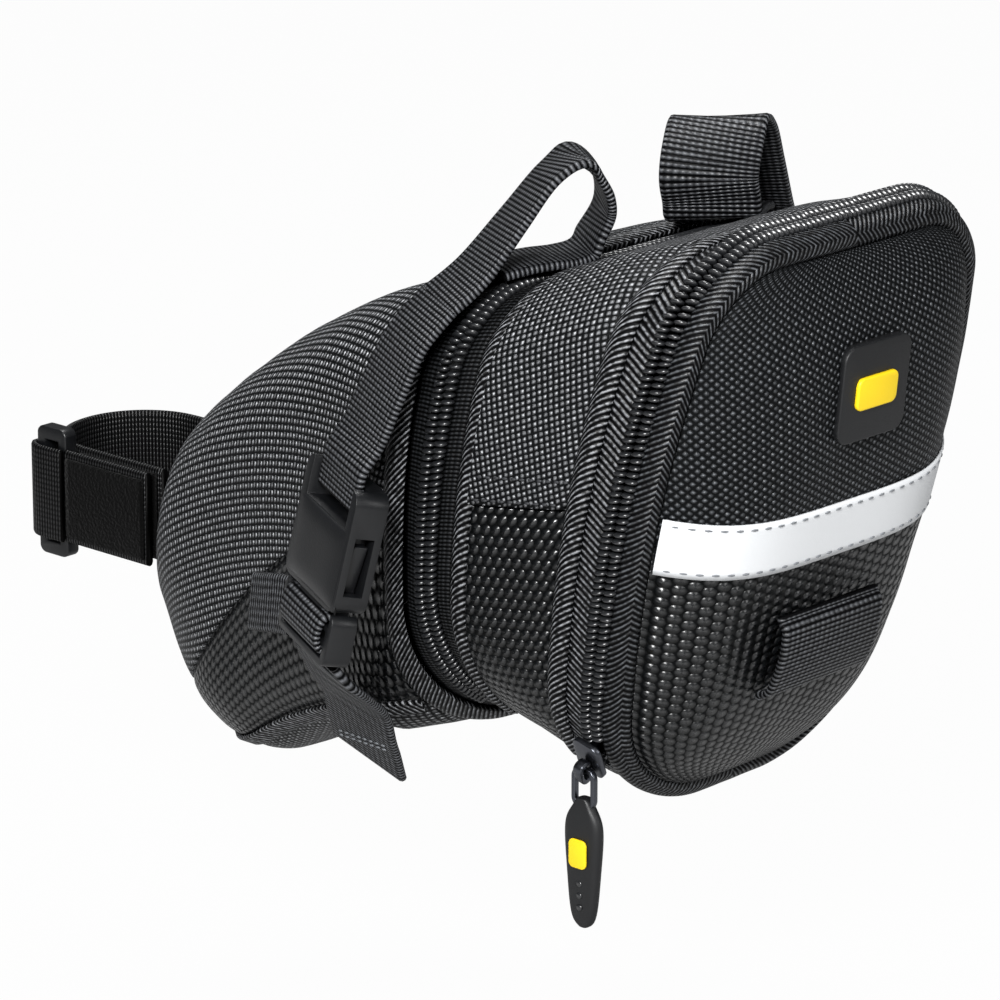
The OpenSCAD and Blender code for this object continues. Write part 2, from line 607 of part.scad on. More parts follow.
module reflective_strip() {
    color(silver_c) face_patch([for (i = [2:-1:-2]) i * strip_w / 4], -0.6 - lap, 0.6);
}

// Places on the middle of the lid's face
module on_lid(v, off) {
    translate(seat(lid_sec, [0, v], off)) rotate([lid_lean, 0, 0]) children();
}
loop_v = -26;
loop_lift = 2.6;
loop_t = 1.6;
loop_foot = 2;
loop_high = face_off(0, loop_v + loop_h / 2);
loop_low = face_off(0, loop_v - loop_h / 2);
module light_loop() {
    color(web_c) on_lid(loop_v, (loop_high + loop_low) / 2 + 3 * lap)
        rotate([atan((loop_high - loop_low) / loop_h), 0, 0]) difference() {
            translate([-loop_w / 2, -loop_lift - loop_t, -loop_h / 2]) cube([loop_w, loop_lift + loop_t, loop_h]);
            translate([-loop_w, -loop_lift, -loop_h / 2 + loop_foot])
                cube([2 * loop_w, loop_lift + 1, loop_h - 2 * loop_foot]);
        }
}
patch_v = 30;
patch_t = 1.6;
// Tile that follows the swell of the lid's face, out mm proud of it
module face_tile(v, w, h, out, t) {
    grid = [for (k = [2:-1:-2]) [for (i = [-2:2]) [i * w / 4, v + k * h / 4]]];
    function at(p, o) = seat(lid_sec, p, face_off(p.x / half_w(lid_sec, lid_edge, p.y), p.y) + o);
    skin([for (r = grid) [for (p = r) at(p, out + t)]], [for (r = grid) [for (p = r) at(p, out)]]);
}
module rubber_patch() { color(rubber_c) face_tile(patch_v, patch_w, patch_w, lap, patch_t); }
module patch_inlay() {
    color(yellow_c) face_tile(patch_v, patch_w - 8, patch_w / 3, patch_t + 2 * lap, 0.6);
}

// Zipper sliders: two plates round the coil, joined by a thin tongue between the coil halves
slider_w = 7;
slider_l = 9;
plate_t = 1.2;
chan = chain_t + 2.2;
module slider_body(l) {
    color(metal_c) {
        for (x = [-chan / 2 - plate_t, chan / 2])
            rotate([0, 90, 0]) translate([0, 0, x]) linear_extrude(plate_t) rounded(l, slider_w, 2);
        translate([-chan / 2 - 0.1, -0.2, l / 2 - 3.2]) cube([chan + 0.2, 0.4, 2.2]);
    }
}
crown_w = 2;
crown_h = 5.4;
crown_t = 3.4;
crown_eye = 1.35;
module slider_loop() {
    color(metal_c) translate([-chan / 2 - plate_t - lap, 0, 0]) rotate([90, 0, 0])
        linear_extrude(crown_w, center = true) difference() {
            translate([-crown_t / 2, 0]) rounded(crown_t, crown_h, 1.5);
            translate([-crown_eye, 0]) rounded(2.3, crown_h - 2, 1);
        }
}

// The main slider rests at the lower left end of the zipper
slide_v = -fold_drop + slider_l / 2 + 0.7;
main_slope = (half_w(lid_sec, 0, slide_v + slider_l) - half_w(lid_sec, 0, slide_v - slider_l / 2))
    / (1.5 * slider_l);
main_tilt = atan(main_slope);
slider_in = 0.4;
crown_out = chan / 2 + plate_t + lap + crown_eye;
crown_drop = 2;
module at_main_slider() {
    translate(seat(lid_sec, [-half_w(lid_sec, 0, slide_v) + slider_in, slide_v], 0))
        rotate([lid_lean, 0, 0]) rotate([0, -main_tilt, 0]) children();
}
module main_slider() { at_main_slider() slider_body(slider_l); }
module slider_crown() { at_main_slider() translate([0, 0, -crown_drop]) slider_loop(); }

// The pull hangs straight down from the slider's crown
hang = seat(lid_sec, [-half_w(lid_sec, 0, slide_v) + slider_in
    - crown_out * cos(main_tilt) + crown_drop * sin(main_tilt),
    slide_v - crown_out * sin(main_tilt) - crown_drop * cos(main_tilt)], 0);
module at_pull() { translate(hang) children(); }
link_d = 1.3;
link_l = 8.6;
link_drop = 3.7;
link_wall = 1;
link_slack = 1.2;
module link() {
    w = crown_w + 2 * play + link_slack + 2 * link_wall;
    translate([0, 0, -link_drop]) rotate([0, 90, 0]) linear_extrude(link_d, center = true) difference() {
        rounded(link_l, w, 2.2);
        rounded(link_l - 2 * link_wall, w - 2 * link_wall, 1.2);
    }
}
module pull_link() { color(metal_c) at_pull() link(); }
grip_w = 7.5;
grip_t = 3.4;
grip_top = -9;
neck_w = 3;
module pull_grip() {
    color(rubber_c) at_pull() {
        translate([0, 0, grip_top - grip_l / 2])
            rotate([90, 0, 90]) linear_extrude(grip_t, center = true) rounded(grip_w, grip_l, 3);
        translate([-grip_t / 2, -neck_w / 2, grip_top - 2]) cube([grip_t, neck_w, 5.4]);
    }
}
module pull_inlay() {
    color(yellow_c) at_pull() translate([-grip_t / 2, 0, grip_top - grip_l / 3])
        rotate([90, 0, -90]) linear_extrude(0.5) rounded(4.5, 6, 1.2);
}

// The expansion slider sits on the right side of its zipper
exp_v = -16;
exp_travel = 25;
exp_tilt = atan((half_w(rim_sec, 0, exp_v + exp_travel) - half_w(rim_sec, 0, exp_v)) / exp_travel);
module at_exp_slider() {
    translate(seat(rim_sec, [half_w(rim_sec, 0, exp_v) - slider_in, exp_v], 0)) rotate([rim_lean, 0, 0])
        rotate([0, exp_tilt, 0]) mirror([1, 0, 0]) children();
}
module expansion_slider() { at_exp_slider() slider_body(slider_l); }
module expansion_crown() { at_exp_slider() slider_loop(); }
exp_hang = seat(rim_sec, [half_w(rim_sec, 0, exp_v) - slider_in + crown_out * cos(exp_tilt),
    exp_v - crown_out * sin(exp_tilt)], 0);
module expansion_pull() {
    color(rubber_c) translate(exp_hang) {
        link();
        translate([0, 0, -link_drop - link_l / 2 - 6]) rotate([90, 0, 90])
            linear_extrude(2, center = true) rounded(5, 14, 2);
    }
}

front_upper_panel();
front_side_left();
front_side_right();
front_base_panel();
nose_panel();
front_rim_binding();
base_stiffener();
expansion_tape_front();
expansion_coil_front();
expansion_gusset();
left_rail_strap();
right_rail_strap();
left_strap_end();
right_strap_end();
left_lower_strap();
right_lower_strap();
left_strap_tail();
right_strap_tail();
left_buckle_plug();
right_buckle_plug();
left_front_prong();
left_rear_prong();
right_front_prong();
right_rear_prong();
left_buckle_socket();
right_buckle_socket();
seatpost_wrap();
seatpost_anchor();
seatpost_ring();
loop_patch();
seatpost_flap();
hook_patch();
sleeve_upper_panel();
sleeve_side_left();
sleeve_side_right();
sleeve_base_panel();
expansion_tape_rear();
expansion_coil_rear();
main_tape();
main_coil_sleeve();
lid_foot_panel();
lid_foot_band();
lid_upper_panel();
lid_lower_panel();
lid_edge_band();
main_coil_lid();
lid_stiffener();
reflective_strip();
light_loop();
rubber_patch();
patch_inlay();
main_slider();
slider_crown();
pull_link();
pull_grip();
pull_inlay();
expansion_slider();
expansion_crown();
expansion_pull();
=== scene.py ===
# %% [markdown]
# # A wedge saddle bag, dressed over its frame
# The bag is sewn from woven nylon, embossed vinyl and tape, closed by two coil zippers, and hung from
# webbing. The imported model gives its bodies, joints and sizes, so loading it comes first and every piece
# that follows is made in its place, in metres.

# %% Load the frame
import math
import bpy
import bmesh
import numpy as np
from mathutils import Matrix, Vector, noise


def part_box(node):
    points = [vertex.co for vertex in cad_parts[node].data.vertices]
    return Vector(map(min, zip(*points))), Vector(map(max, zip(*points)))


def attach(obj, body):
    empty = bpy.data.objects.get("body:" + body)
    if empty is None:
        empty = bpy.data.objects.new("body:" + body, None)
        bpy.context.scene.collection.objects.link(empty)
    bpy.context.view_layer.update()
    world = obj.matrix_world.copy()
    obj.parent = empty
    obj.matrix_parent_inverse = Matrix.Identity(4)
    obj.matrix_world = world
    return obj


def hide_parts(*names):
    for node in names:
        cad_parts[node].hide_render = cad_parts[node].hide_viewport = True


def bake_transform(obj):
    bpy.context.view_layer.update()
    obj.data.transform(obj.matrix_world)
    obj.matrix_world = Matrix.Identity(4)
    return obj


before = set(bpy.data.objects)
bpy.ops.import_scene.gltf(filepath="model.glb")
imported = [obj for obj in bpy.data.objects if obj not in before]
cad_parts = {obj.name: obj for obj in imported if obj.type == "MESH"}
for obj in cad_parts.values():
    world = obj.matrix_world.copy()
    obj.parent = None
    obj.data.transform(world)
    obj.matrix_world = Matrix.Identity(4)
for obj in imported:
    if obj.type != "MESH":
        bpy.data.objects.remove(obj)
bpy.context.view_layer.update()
scene = bpy.context.scene
MM = 0.001
FRONT, REAR, LID = "front_section", "rear_section", "rear_lid"

# %% [markdown]
# ## Camera and light
# A product picture is taken with a long lens from a little above. The camera could be framed by eye, but
# here its place was worked out from the picture's lines, so it is written as a point, an aim and a lens.
# Large soft lamps keep black cloth readable, and the floor shows white to the camera while it still takes
# the shadow.

# %% Camera
camera = bpy.data.cameras.new("studio_camera")
camera.lens = 200.6
camera.sensor_width = 36
camera.sensor_fit = "HORIZONTAL"
camera.clip_end = 20
eye = Vector((-0.8058, -0.7062, 0.2596))
aim = Vector((-0.0349, 0.0118, -0.0615))
camera_object = bpy.data.objects.new("studio_camera", camera)
camera_object.location = eye
camera_object.rotation_euler = (aim - eye).to_track_quat("-Z", "Y").to_euler()
scene.collection.objects.link(camera_object)
scene.camera = camera_object
scene.view_settings.view_transform = "Standard"
print("camera", round((aim - eye).length, 3), "m away")


# %% One function for nodes
def add(tree, kind, sets=None, links=None, **attributes):
    """Adds a node with its settings, its socket values and its links, and returns it."""
    node = tree.nodes.new(kind)
    for key, value in attributes.items():
        setattr(node, key, value)
    for key, value in (sets or {}).items():
        node.inputs[key].default_value = value
    for key, socket in (links or {}).items():
        tree.links.new(node.inputs[key], socket)
    return node


# %% Lamps, world and floor
def lamp(name, place, size, power):
    light = bpy.data.lights.new(name, "AREA")
    light.size = size
    light.energy = power
    holder = bpy.data.objects.new(name, light)
    holder.location = place
    holder.rotation_euler = (aim - Vector(place)).to_track_quat("-Z", "Y").to_euler()
    scene.collection.objects.link(holder)


lamp("key_lamp", (-0.8, -0.5, 0.52), 0.3, 20)
lamp("fill_lamp", (0.25, -0.95, 0.35), 0.5, 2.5)
lamp("top_lamp", (0.15, 0.35, 0.85), 0.4, 8)

world = bpy.data.worlds.new("pale_room")
scene.world = world
world.use_nodes = True
room = world.node_tree
room.nodes.clear()
ray = add(room, "ShaderNodeLightPath")
seen = add(room, "ShaderNodeMath", operation="MAXIMUM",
           links={0: ray.outputs["Is Camera Ray"], 1: ray.outputs["Is Transmission Ray"]})
soft_light = add(room, "ShaderNodeBackground", {"Color": (0.95, 0.97, 1, 1), "Strength": 0.12})
white = add(room, "ShaderNodeBackground", {"Color": (1, 1, 1, 1), "Strength": 1})
pick = add(room, "ShaderNodeMixShader",
           links={0: seen.outputs[0], 1: soft_light.outputs[0], 2: white.outputs[0]})
add(room, "ShaderNodeOutputWorld", links={"Surface": pick.outputs[0]})

floor_height, floor_reach, floor_white = -0.19, 4, 0.97
floor_mesh = bpy.data.meshes.new("floor")
slab = bmesh.new()
bmesh.ops.create_grid(slab, x_segments=1, y_segments=1, size=floor_reach,
                      matrix=Matrix.Translation((0, 0, floor_height)))
slab.to_mesh(floor_mesh)
slab.free()
floor = bpy.data.objects.new("floor", floor_mesh)
scene.collection.objects.link(floor)
pale = bpy.data.materials.new("matte_white_paint")
pale.use_nodes = True
paint = pale.node_tree
paint.nodes.clear()
floor_ray = add(paint, "ShaderNodeLightPath")
shown = add(paint, "ShaderNodeMath", {1: floor_white}, {0: floor_ray.outputs["Is Camera Ray"]},
            operation="MULTIPLY")
flat_paint = add(paint, "ShaderNodeBsdfDiffuse", {"Color": (0.4, 0.4, 0.4, 1)})
glow = add(paint, "ShaderNodeEmission", {"Color": (1, 1, 1, 1), "Strength": 1})
floor_mix = add(paint, "ShaderNodeMixShader",
                links={0: shown.outputs[0], 1: flat_paint.outputs[0], 2: glow.outputs[0]})
add(paint, "ShaderNodeOutputMaterial", links={"Surface": floor_mix.outputs[0]})
floor_mesh.materials.append(pale)
print("stage ready")

# %% [markdown]
# ## Finishes
# Each finish starts from what the real material is. Cloth reads its own UV map, which every sheet below
# gets in real metres, so a thread is as wide on the lid as on the nose. One function turns the sRGB hex
# colours into the linear values that the shader needs. A band wave repeats every 0.31416 / scale, so a
# scale is 0.31416 divided by the thread spacing.

# %% Colour, start of a finish, and relief
WAVE = 0.31416


def linear(code):
    parts = [int(code[i:i + 2], 16) / 255 for i in (1, 3, 5)]
    return tuple(c / 12.92 if c <= 0.04045 else ((c + 0.055) / 1.055) ** 2.4 for c in parts) + (1,)


def finish(name, sets):
    """Starts a material with one principled shader and returns the material, its tree and the shader."""
    material = bpy.data.materials.new(name)
    material.use_nodes = True
    tree = material.node_tree
    tree.nodes.clear()
    shader = add(tree, "ShaderNodeBsdfPrincipled", sets)
    add(tree, "ShaderNodeOutputMaterial", links={"Surface": shader.outputs[0]})
    return material, tree, shader


def raised(tree, shader, height, shine, colours, ends, depth, strength, gloss):
    """Colours a relief with painted highlight on its crowns and painted shade in its hollows, bumps it, and
    takes the gloss away in its hollows, where a real one shades itself.
    """
    # The ramp paints crowns pale and hollows dark: painted highlight and painted shade.
    painted_light_ramp = add(tree, "ShaderNodeValToRGB", links={"Fac": shine})
    for stop, code, place in zip(painted_light_ramp.color_ramp.elements, colours, ends):
        stop.color = linear(code)
        stop.position = place
    bump = add(tree, "ShaderNodeBump", {"Strength": strength, "Distance": depth}, {"Height": height})
    level = add(tree, "ShaderNodeMapRange",
                {"From Min": 0.1, "From Max": 0.8, "To Min": gloss[0], "To Max": gloss[1]}, {"Value": height})
    for socket, node in (("Base Color", painted_light_ramp), ("Normal", bump), ("Specular IOR Level", level)):
        tree.links.new(shader.inputs[socket], node.outputs[0])


# %% [markdown]
# ### Woven nylon
# Coarse nylon is a plain weave of flat black yarns: each crossing shows one yarn lying over the other as a
# small rounded crown. A picture of cloth could be wrapped on, but two band waves multiplied give the crowns,
# which are painted pale as a painted highlight, with painted shade between them, and a checker tells which
# yarn is on top: the one that lies along the light is painted paler than the other, as painted light.

# %% Woven nylon
def woven(name, thread, dark, light, turn, depth, under_yarn_shade):
    material, tree, shader = finish(name, {"Roughness": 0.4, "IOR": 1.5})
    uv = add(tree, "ShaderNodeTexCoord").outputs["UV"]
    lay = add(tree, "ShaderNodeMapping", {"Rotation": (0, 0, math.radians(turn))}, {"Vector": uv}).outputs[0]
    waves = [add(tree, "ShaderNodeTexWave", {"Scale": WAVE / thread, "Phase Offset": -math.pi / 2},
                 {"Vector": lay}, bands_direction=way).outputs["Fac"] for way in "XY"]
    crown = add(tree, "ShaderNodeMath", links={0: waves[0], 1: waves[1]}, operation="MULTIPLY").outputs[0]
    over = add(tree, "ShaderNodeTexChecker", {"Scale": 1 / thread}, {"Vector": lay}).outputs["Fac"]
    # The yarn lying across the light is painted darker than the one along it: painted shade.
    yarn_painted_shade = add(tree, "ShaderNodeMapRange", {"To Min": under_yarn_shade, "To Max": 1.0}, {"Value": over}).outputs[0]
    lit = add(tree, "ShaderNodeMath", links={0: crown, 1: yarn_painted_shade}, operation="MULTIPLY").outputs[0]
    mottle = add(tree, "ShaderNodeTexNoise", {"Scale": 700, "Detail": 2}, {"Vector": lay}).outputs["Fac"]
    shine = add(tree, "ShaderNodeMath", links={0: lit, 1: mottle}, operation="MULTIPLY").outputs[0]
    raised(tree, shader, lit, shine, (dark, light), (0.03, 0.46), depth, 1.0, (0.06, 0.6))
    return material


# The pale stop is the crowns' painted highlight, set much dimmer for the lid's cloth.
coarse_nylon = woven("woven_nylon_coarse", 1.3 * MM, "#0d0e0f", "#bfc1c5", 18, 0.8 * MM, 0.4)
lid_nylon = woven("woven_nylon_diagonal", 1.25 * MM, "#0b0c0d", "#5c5f63", 32, 0.6 * MM, 0.5)
print("woven nylon", coarse_nylon.name, lid_nylon.name)


# %% [markdown]
# ### Embossed vinyl
# The scuff panels are vinyl pressed with staggered rows of small round domes. Two lattices, one set off by
# half a cell, give the distance to the nearest dome's middle, and a rounded slope over that distance is the
# dome. The vinyl is smoother on the worn crowns than in the hollows, which is what catches the light; the
# crowns are also painted lighter, a painted highlight, and the hollows darker, painted shade.

# %% Embossed vinyl
def embossed(name, cell, radius, depth):
    material, tree, shader = finish(name, {"IOR": 1.52})
    uv = add(tree, "ShaderNodeTexCoord").outputs["UV"]
    away = []
    for shift in (0.0, 0.5):
        step = add(tree, "ShaderNodeMapping",
                   {"Location": (shift, shift, 0), "Scale": (1 / cell[0], 1 / cell[1], 0)}, {"Vector": uv})
        for operation, sets in (("FRACTION", {}), ("SUBTRACT", {1: (0.5, 0.5, 0)}), ("MULTIPLY", {1: cell}),
                                ("LENGTH", {})):
            step = add(tree, "ShaderNodeVectorMath", sets, {0: step.outputs[0]}, operation=operation)
        away.append(step.outputs["Value"])
    near = add(tree, "ShaderNodeMath", links={0: away[0], 1: away[1]}, operation="MINIMUM").outputs[0]
    slope = add(tree, "ShaderNodeMapRange", {"From Max": radius, "To Min": 1, "To Max": 0}, {"Value": near})
    domes = add(tree, "ShaderNodeMath", {1: 0.55}, {0: slope.outputs[0]}, operation="POWER").outputs[0]
    rough = add(tree, "ShaderNodeMapRange", {"To Min": 0.4, "To Max": 0.24}, {"Value": domes})
    tree.links.new(shader.inputs["Roughness"], rough.outputs[0])
    # Dome crowns are painted lighter than the hollows: painted highlight and painted shade.
    raised(tree, shader, domes, domes, ("#050607", "#0e1012"), (0, 1), depth, 1.0, (0.1, 1.0))
    return material


dome_radius = 1.22 * MM
embossed_vinyl = embossed("embossed_vinyl", (4.6 * MM, 2.2 * MM, 1.0), dome_radius, 1.1 * MM)
print("vinyl domes", round(2 * dome_radius / MM, 1), "mm across")


# %% [markdown]
# ### Tapes and webbing
# Binding tape is a narrow twill, so slanting ribs cross it, and the tape beside it slants the other way; the
# lid's tape is a herringbone, whose slant turns over at its middle; zipper tape and webbing have ribs
# straight across. UV u runs along every tape below, and v across it from the middle line. Twill ribs are
# about half a millimetre apart on the real tape and are drawn at twice that, so that they still show.

# %% Ribbed tapes
def ribbed(name, rib, slant, weave, dark, light, depth, knot=0.45, start=0.08, chevron=False):
    """A tape whose ribs lean by slant, crossed by a weave; a chevron leans the other way past its middle. The
    rib crowns are painted pale, a painted highlight, and the grooves dark, painted shade.
    """
    material, tree, shader = finish(name, {"Roughness": 0.45, "IOR": 1.5})
    uv = add(tree, "ShaderNodeTexCoord").outputs["UV"]
    if chevron:
        uv = add(tree, "ShaderNodeVectorMath", links={0: uv}, operation="ABSOLUTE").outputs[0]
    lay = add(tree, "ShaderNodeMapping", {"Rotation": (0, 0, math.radians(slant))}, {"Vector": uv}).outputs[0]
    ribs, picks = (add(tree, "ShaderNodeTexWave", {"Scale": WAVE / size}, {"Vector": lay},
                       bands_direction=way).outputs["Fac"] for size, way in ((rib, "X"), (weave, "Y")))
    mottle = add(tree, "ShaderNodeTexNoise", {"Scale": 900, "Detail": 2}, {"Vector": uv}).outputs["Fac"]
    knots = add(tree, "ShaderNodeMapRange", {"To Min": knot, "To Max": 1.0}, {"Value": picks}).outputs[0]
    height = add(tree, "ShaderNodeMath", links={0: ribs, 1: knots}, operation="MULTIPLY").outputs[0]
    shine = add(tree, "ShaderNodeMath", links={0: height, 1: mottle}, operation="MULTIPLY").outputs[0]
    raised(tree, shader, height, shine, (dark, light), (start, 0.55), depth, 0.9, (0.05, 0.6))
    return material


# Each tape's pale colour is the painted highlight on its rib crowns; its dark colour is the black tape with
# painted shade in the grooves.
twill = {"knot": 0.85, "start": 0.3}
binding_tape = ribbed("twill_binding_tape", 1.15 * MM, 38, 1.6 * MM, "#060607", "#8c8e92", 0.35 * MM, **twill)
counter_tape = ribbed("twill_zipper_tape", 1.15 * MM, -38, 1.6 * MM, "#060607", "#77797d", 0.3 * MM, **twill)
lid_twill = ribbed("herringbone_tape", 1.0 * MM, 40, 1.4 * MM, "#050506", "#505357", 0.3 * MM,
                   chevron=True, **twill)
zipper_tape = ribbed("zipper_tape", 0.9 * MM, 0, 1.2 * MM, "#030303", "#26282b", 0.25 * MM)
webbing = ribbed("nylon_webbing", 1.0 * MM, 0, 1.5 * MM, "#050506", "#5c5e62", 0.35 * MM)
# A darker copy of the webbing for the seatpost band, whose place lies in shadow: painted shade; its finer
# ribs are the real webbing's.
shaded_post_webbing = ribbed("fine_webbing_painted_shade", 0.8 * MM, 0, 1.1 * MM, "#010101", "#121315", 0.2 * MM)
print("tapes", binding_tape.name, lid_twill.name, zipper_tape.name, webbing.name)


# %% [markdown]
# ### Moulded and metal parts
# The zipper coil is extruded nylon and shines; acetal buckles leave a spark-eroded mould with a fine even
# grain; rubber is duller; the sliders are plated black. Their grain is too fine to see at this distance,
# so it is drawn coarser, a third of a millimetre or more, to break the highlights.

# %% Plain finishes with a fine grain
def grained(name, code, rough, spread, grain, depth, **more):
    """One colour with a fine grain; more holds other shader values."""
    sets = {"Base Color": linear(code), "IOR": 1.5}
    sets.update(more)
    material, tree, shader = finish(name, sets)
    place = add(tree, "ShaderNodeTexCoord").outputs["Object"]
    noise_node = add(tree, "ShaderNodeTexNoise", {"Scale": 1 / grain, "Detail": 3}, {"Vector": place})
    speck = noise_node.outputs["Fac"]
    limits = {"To Min": rough - spread, "To Max": rough + spread}
    level = add(tree, "ShaderNodeMapRange", limits, {"Value": speck})
    bump = add(tree, "ShaderNodeBump", {"Strength": 0.5, "Distance": depth}, {"Height": speck})
    tree.links.new(shader.inputs["Roughness"], level.outputs[0])
    tree.links.new(shader.inputs["Normal"], bump.outputs[0])
    return material


# The coil is painted dark grey instead of nylon black so that its loops show: a painted highlight.
coil_nylon = grained("coil_nylon", "#1c1d1f", 0.3, 0.04, 1.0 * MM, 0.02 * MM, **{"Specular IOR Level": 1.0})
acetal = grained("moulded_acetal", "#0e0f11", 0.36, 0.08, 0.35 * MM, 0.06 * MM)
plated_metal = grained("black_plated_zinc", "#5a5c62", 0.3, 0.08, 0.6 * MM, 0.02 * MM, **{"Metallic": 1.0})
soft_rubber = grained("moulded_rubber", "#0f1012", 0.5, 0.08, 0.4 * MM, 0.05 * MM)
yellow_rubber = grained("yellow_rubber", "#f2cf12", 0.5, 0.06, 0.5 * MM, 0.03 * MM)
lining = grained("black_lining_cloth", "#101113", 0.85, 0.05, 0.8 * MM, 0.1 * MM)
# The hook and loop's near-black is partly its own colour and partly painted shade of the flap's shadowed
# place.
fuzz = grained("hook_and_loop", "#020202", 0.95, 0.04, 0.7 * MM, 1.4 * MM,
               **{"Sheen Weight": 0.03, "Specular IOR Level": 0.1})
pale_thread = grained("pale_polyester_thread", "#74777b", 0.6, 0.05, 0.3 * MM, 0.03 * MM)
dark_thread = grained("dark_polyester_thread", "#2a2b2e", 0.6, 0.05, 0.3 * MM, 0.03 * MM)
reflective = grained("glass_bead_tape", "#dcdee0", 0.5, 0.1, 0.45 * MM, 0.08 * MM)
print("finishes", len(bpy.data.materials))

# %% [markdown]
# ## The bag's sections
# A bag maker cuts panels from a pattern. Here the pattern is a row of leaning outlines: a rounded, bulging
# shape with its own height, width and corner radii. The numbers are those of the frame, so each panel
# lands on its node. A section holds y, z, lean, half widths at top and foot, heights up and down, upper
# and lower radius, side swell, and the heights of the base fold and the vinyl seam, in millimetres.

# %% Sections
Y, Z, LEAN, TOP, FOOT, UP, LOW, UPPER, LOWER, SWELL, FOLD, SEAM = range(12)
fold_share, seam_rise = 0.89, 4.5
lid_section = np.array([-28.6, -57.4, 14.5, 39, 34, 59, 66, 18, 25, 9.5, -56, 0.0])
rim_section = np.array([14, -58, 10, 49.5, 41.5, 42, 56.5, 16, 40, 7, -fold_share * 56.5, 0.0])
reach, nose_radius, mid_depth = 110.0, 29.0, 42.6
nose_start = 1 - nose_radius / reach
nose_fall, back_arch, nose_turn, belly = 57, 52, 35, 2.5 * 6.75
top_taper, foot_taper, up_taper, low_taper = 14.5, 6.5, 19, 15.5


def front_section(u):
    """Section of the front part, 0 at its rim and 1 at the nose tip."""
    rim = rim_section
    k = max(0.0, (u - nose_start) / (1 - nose_start))
    d = nose_radius * (1 - math.sqrt(max(0.0, 1 - k * k)))
    top, foot = max(3, rim[TOP] - top_taper * u - d), max(3, rim[FOOT] - foot_taper * u - d)
    up = max(4, rim[UP] - up_taper * u - d)
    low = max(4, rim[LOW] - low_taper * u + belly * u * (1 - u) ** 2 - d)
    upper = min(rim[UPPER] + 2 * u, 0.9 * top, 0.9 * up)
    lower = min(np.interp(u, [0, 0.25, 1], [rim[LOWER], 14, 26]), 0.9 * foot, 0.9 * low)
    return np.array([rim[Y] + reach * u, rim[Z] - nose_fall * u + back_arch * u * (1 - u),
                     rim[LEAN] - nose_turn * u, top, foot, up, low, upper, lower, rim[SWELL] * (1 - u),
                     -fold_share * low, -low * (0.1 + 0.5 * u * u)])


def sleeve_section(a):
    """Section a mm behind the expansion zipper, or in front of it where a is negative."""
    if a < 0:
        return front_section(-a / reach)
    s = rim_section + (lid_section - rim_section) * a / mid_depth
    s[SEAM] = seam_rise * a / mid_depth
    return s


def half_width(s, d, v):
    """Half width of an outline set in by d, at heights v on its plane."""
    up, low = s[UP] - d, s[LOW] - d
    upper, lower = s[UPPER] - min(d, s[UPPER] - 1), s[LOWER] - min(d, s[LOWER] - 1)
    tall = np.where(v > 0, s[UP], s[LOW])
    side = s[FOOT] - d + (s[TOP] - s[FOOT]) * (v + low) / (up + low) + s[SWELL] * (1 - (v / tall) ** 2)
    t, b = np.maximum(0, v - up + upper), np.maximum(0, lower - low - v)
    return (side - upper + np.sqrt(np.maximum(0, upper ** 2 - t * t))
            - lower + np.sqrt(np.maximum(0, lower ** 2 - b * b)))


def travelled(line):
    """Distance along a polyline at each of its points."""
    return np.concatenate([[0], np.cumsum(np.linalg.norm(np.diff(line, axis=0), axis=1))])


def span(s, d, start, end, count):
    """Evenly spaced points on an outline set in by d, between two named places on it."""
    up, low = s[UP] - d, s[LOW] - d
    fold_height = max(s[FOLD], -low + 1)
    sweep = -low + (up + low) * (0.5 - 0.5 * np.cos(np.linspace(0, math.pi, 121)))
    v = np.unique(np.concatenate([sweep, [fold_height, s[SEAM]]]))
    left = np.stack([-half_width(s, d, v), v], 1)
    loop = np.concatenate([[[0, -low]], left, [[0, up]], left[::-1] * [-1, 1], [[0, -low]]])
    arc = travelled(loop)
    fold, seam = (arc[1 + np.argmin(abs(v - height))] for height in (fold_height, s[SEAM]))
    places = {"foot": 0, "left_fold": fold, "left_seam": seam, "right_seam": arc[-1] - seam,
              "right_fold": arc[-1] - fold, "end": arc[-1]}
    a, b = places[start], places[end]
    where = np.linspace(a, b if b > a else b + arc[-1], count) % (arc[-1] + 1e-9)
    return np.stack([np.interp(where, arc, loop[:, k]) for k in (0, 1)], 1)


def seat(s, xv, off=0.0):
    """Puts outline points on a section's leaning plane, off mm behind it."""
    lean = math.radians(s[LEAN])
    xv = np.atleast_2d(xv)
    return np.stack([xv[:, 0], s[Y] - math.sin(lean) * xv[:, 1] - math.cos(lean) * off,
                     s[Z] + math.cos(lean) * xv[:, 1] - math.sin(lean) * off], 1)


print("outline of the lid", np.round(span(lid_section, 0, "foot", "end", 9)[2], 1))

# %% [markdown]
# ## Sheets, bands and beads
# Nearly every piece of a sewn bag is a sheet, so one helper makes them: a bmesh grid whose vertices are
# moved onto a table of points, with a UV map in metres. The sheet is puffed up between its seams and
# pulled in along them, and a slow noise gives the slack of cloth. Solidify adds the wall inwards.

# %% Helpers for meshes
calm_edge, long_wave, short_wave = 8, 21.0, 9.0


def make(name, bm, material, body, stands_for=(), wall=0.0):
    """Turns a bmesh into a piece, on a body if one is given."""
    mesh = bpy.data.meshes.new(name)
    bm.to_mesh(mesh)
    bm.free()
    mesh.shade_smooth()
    mesh.materials.append(material)
    piece = bpy.data.objects.new(name, mesh)
    scene.collection.objects.link(piece)
    if wall:
        thicken = piece.modifiers.new("wall", "SOLIDIFY")
        thicken.thickness = wall * MM
        thicken.offset = -1
    if body:
        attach(piece, body)
    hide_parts(*stands_for)
    return piece


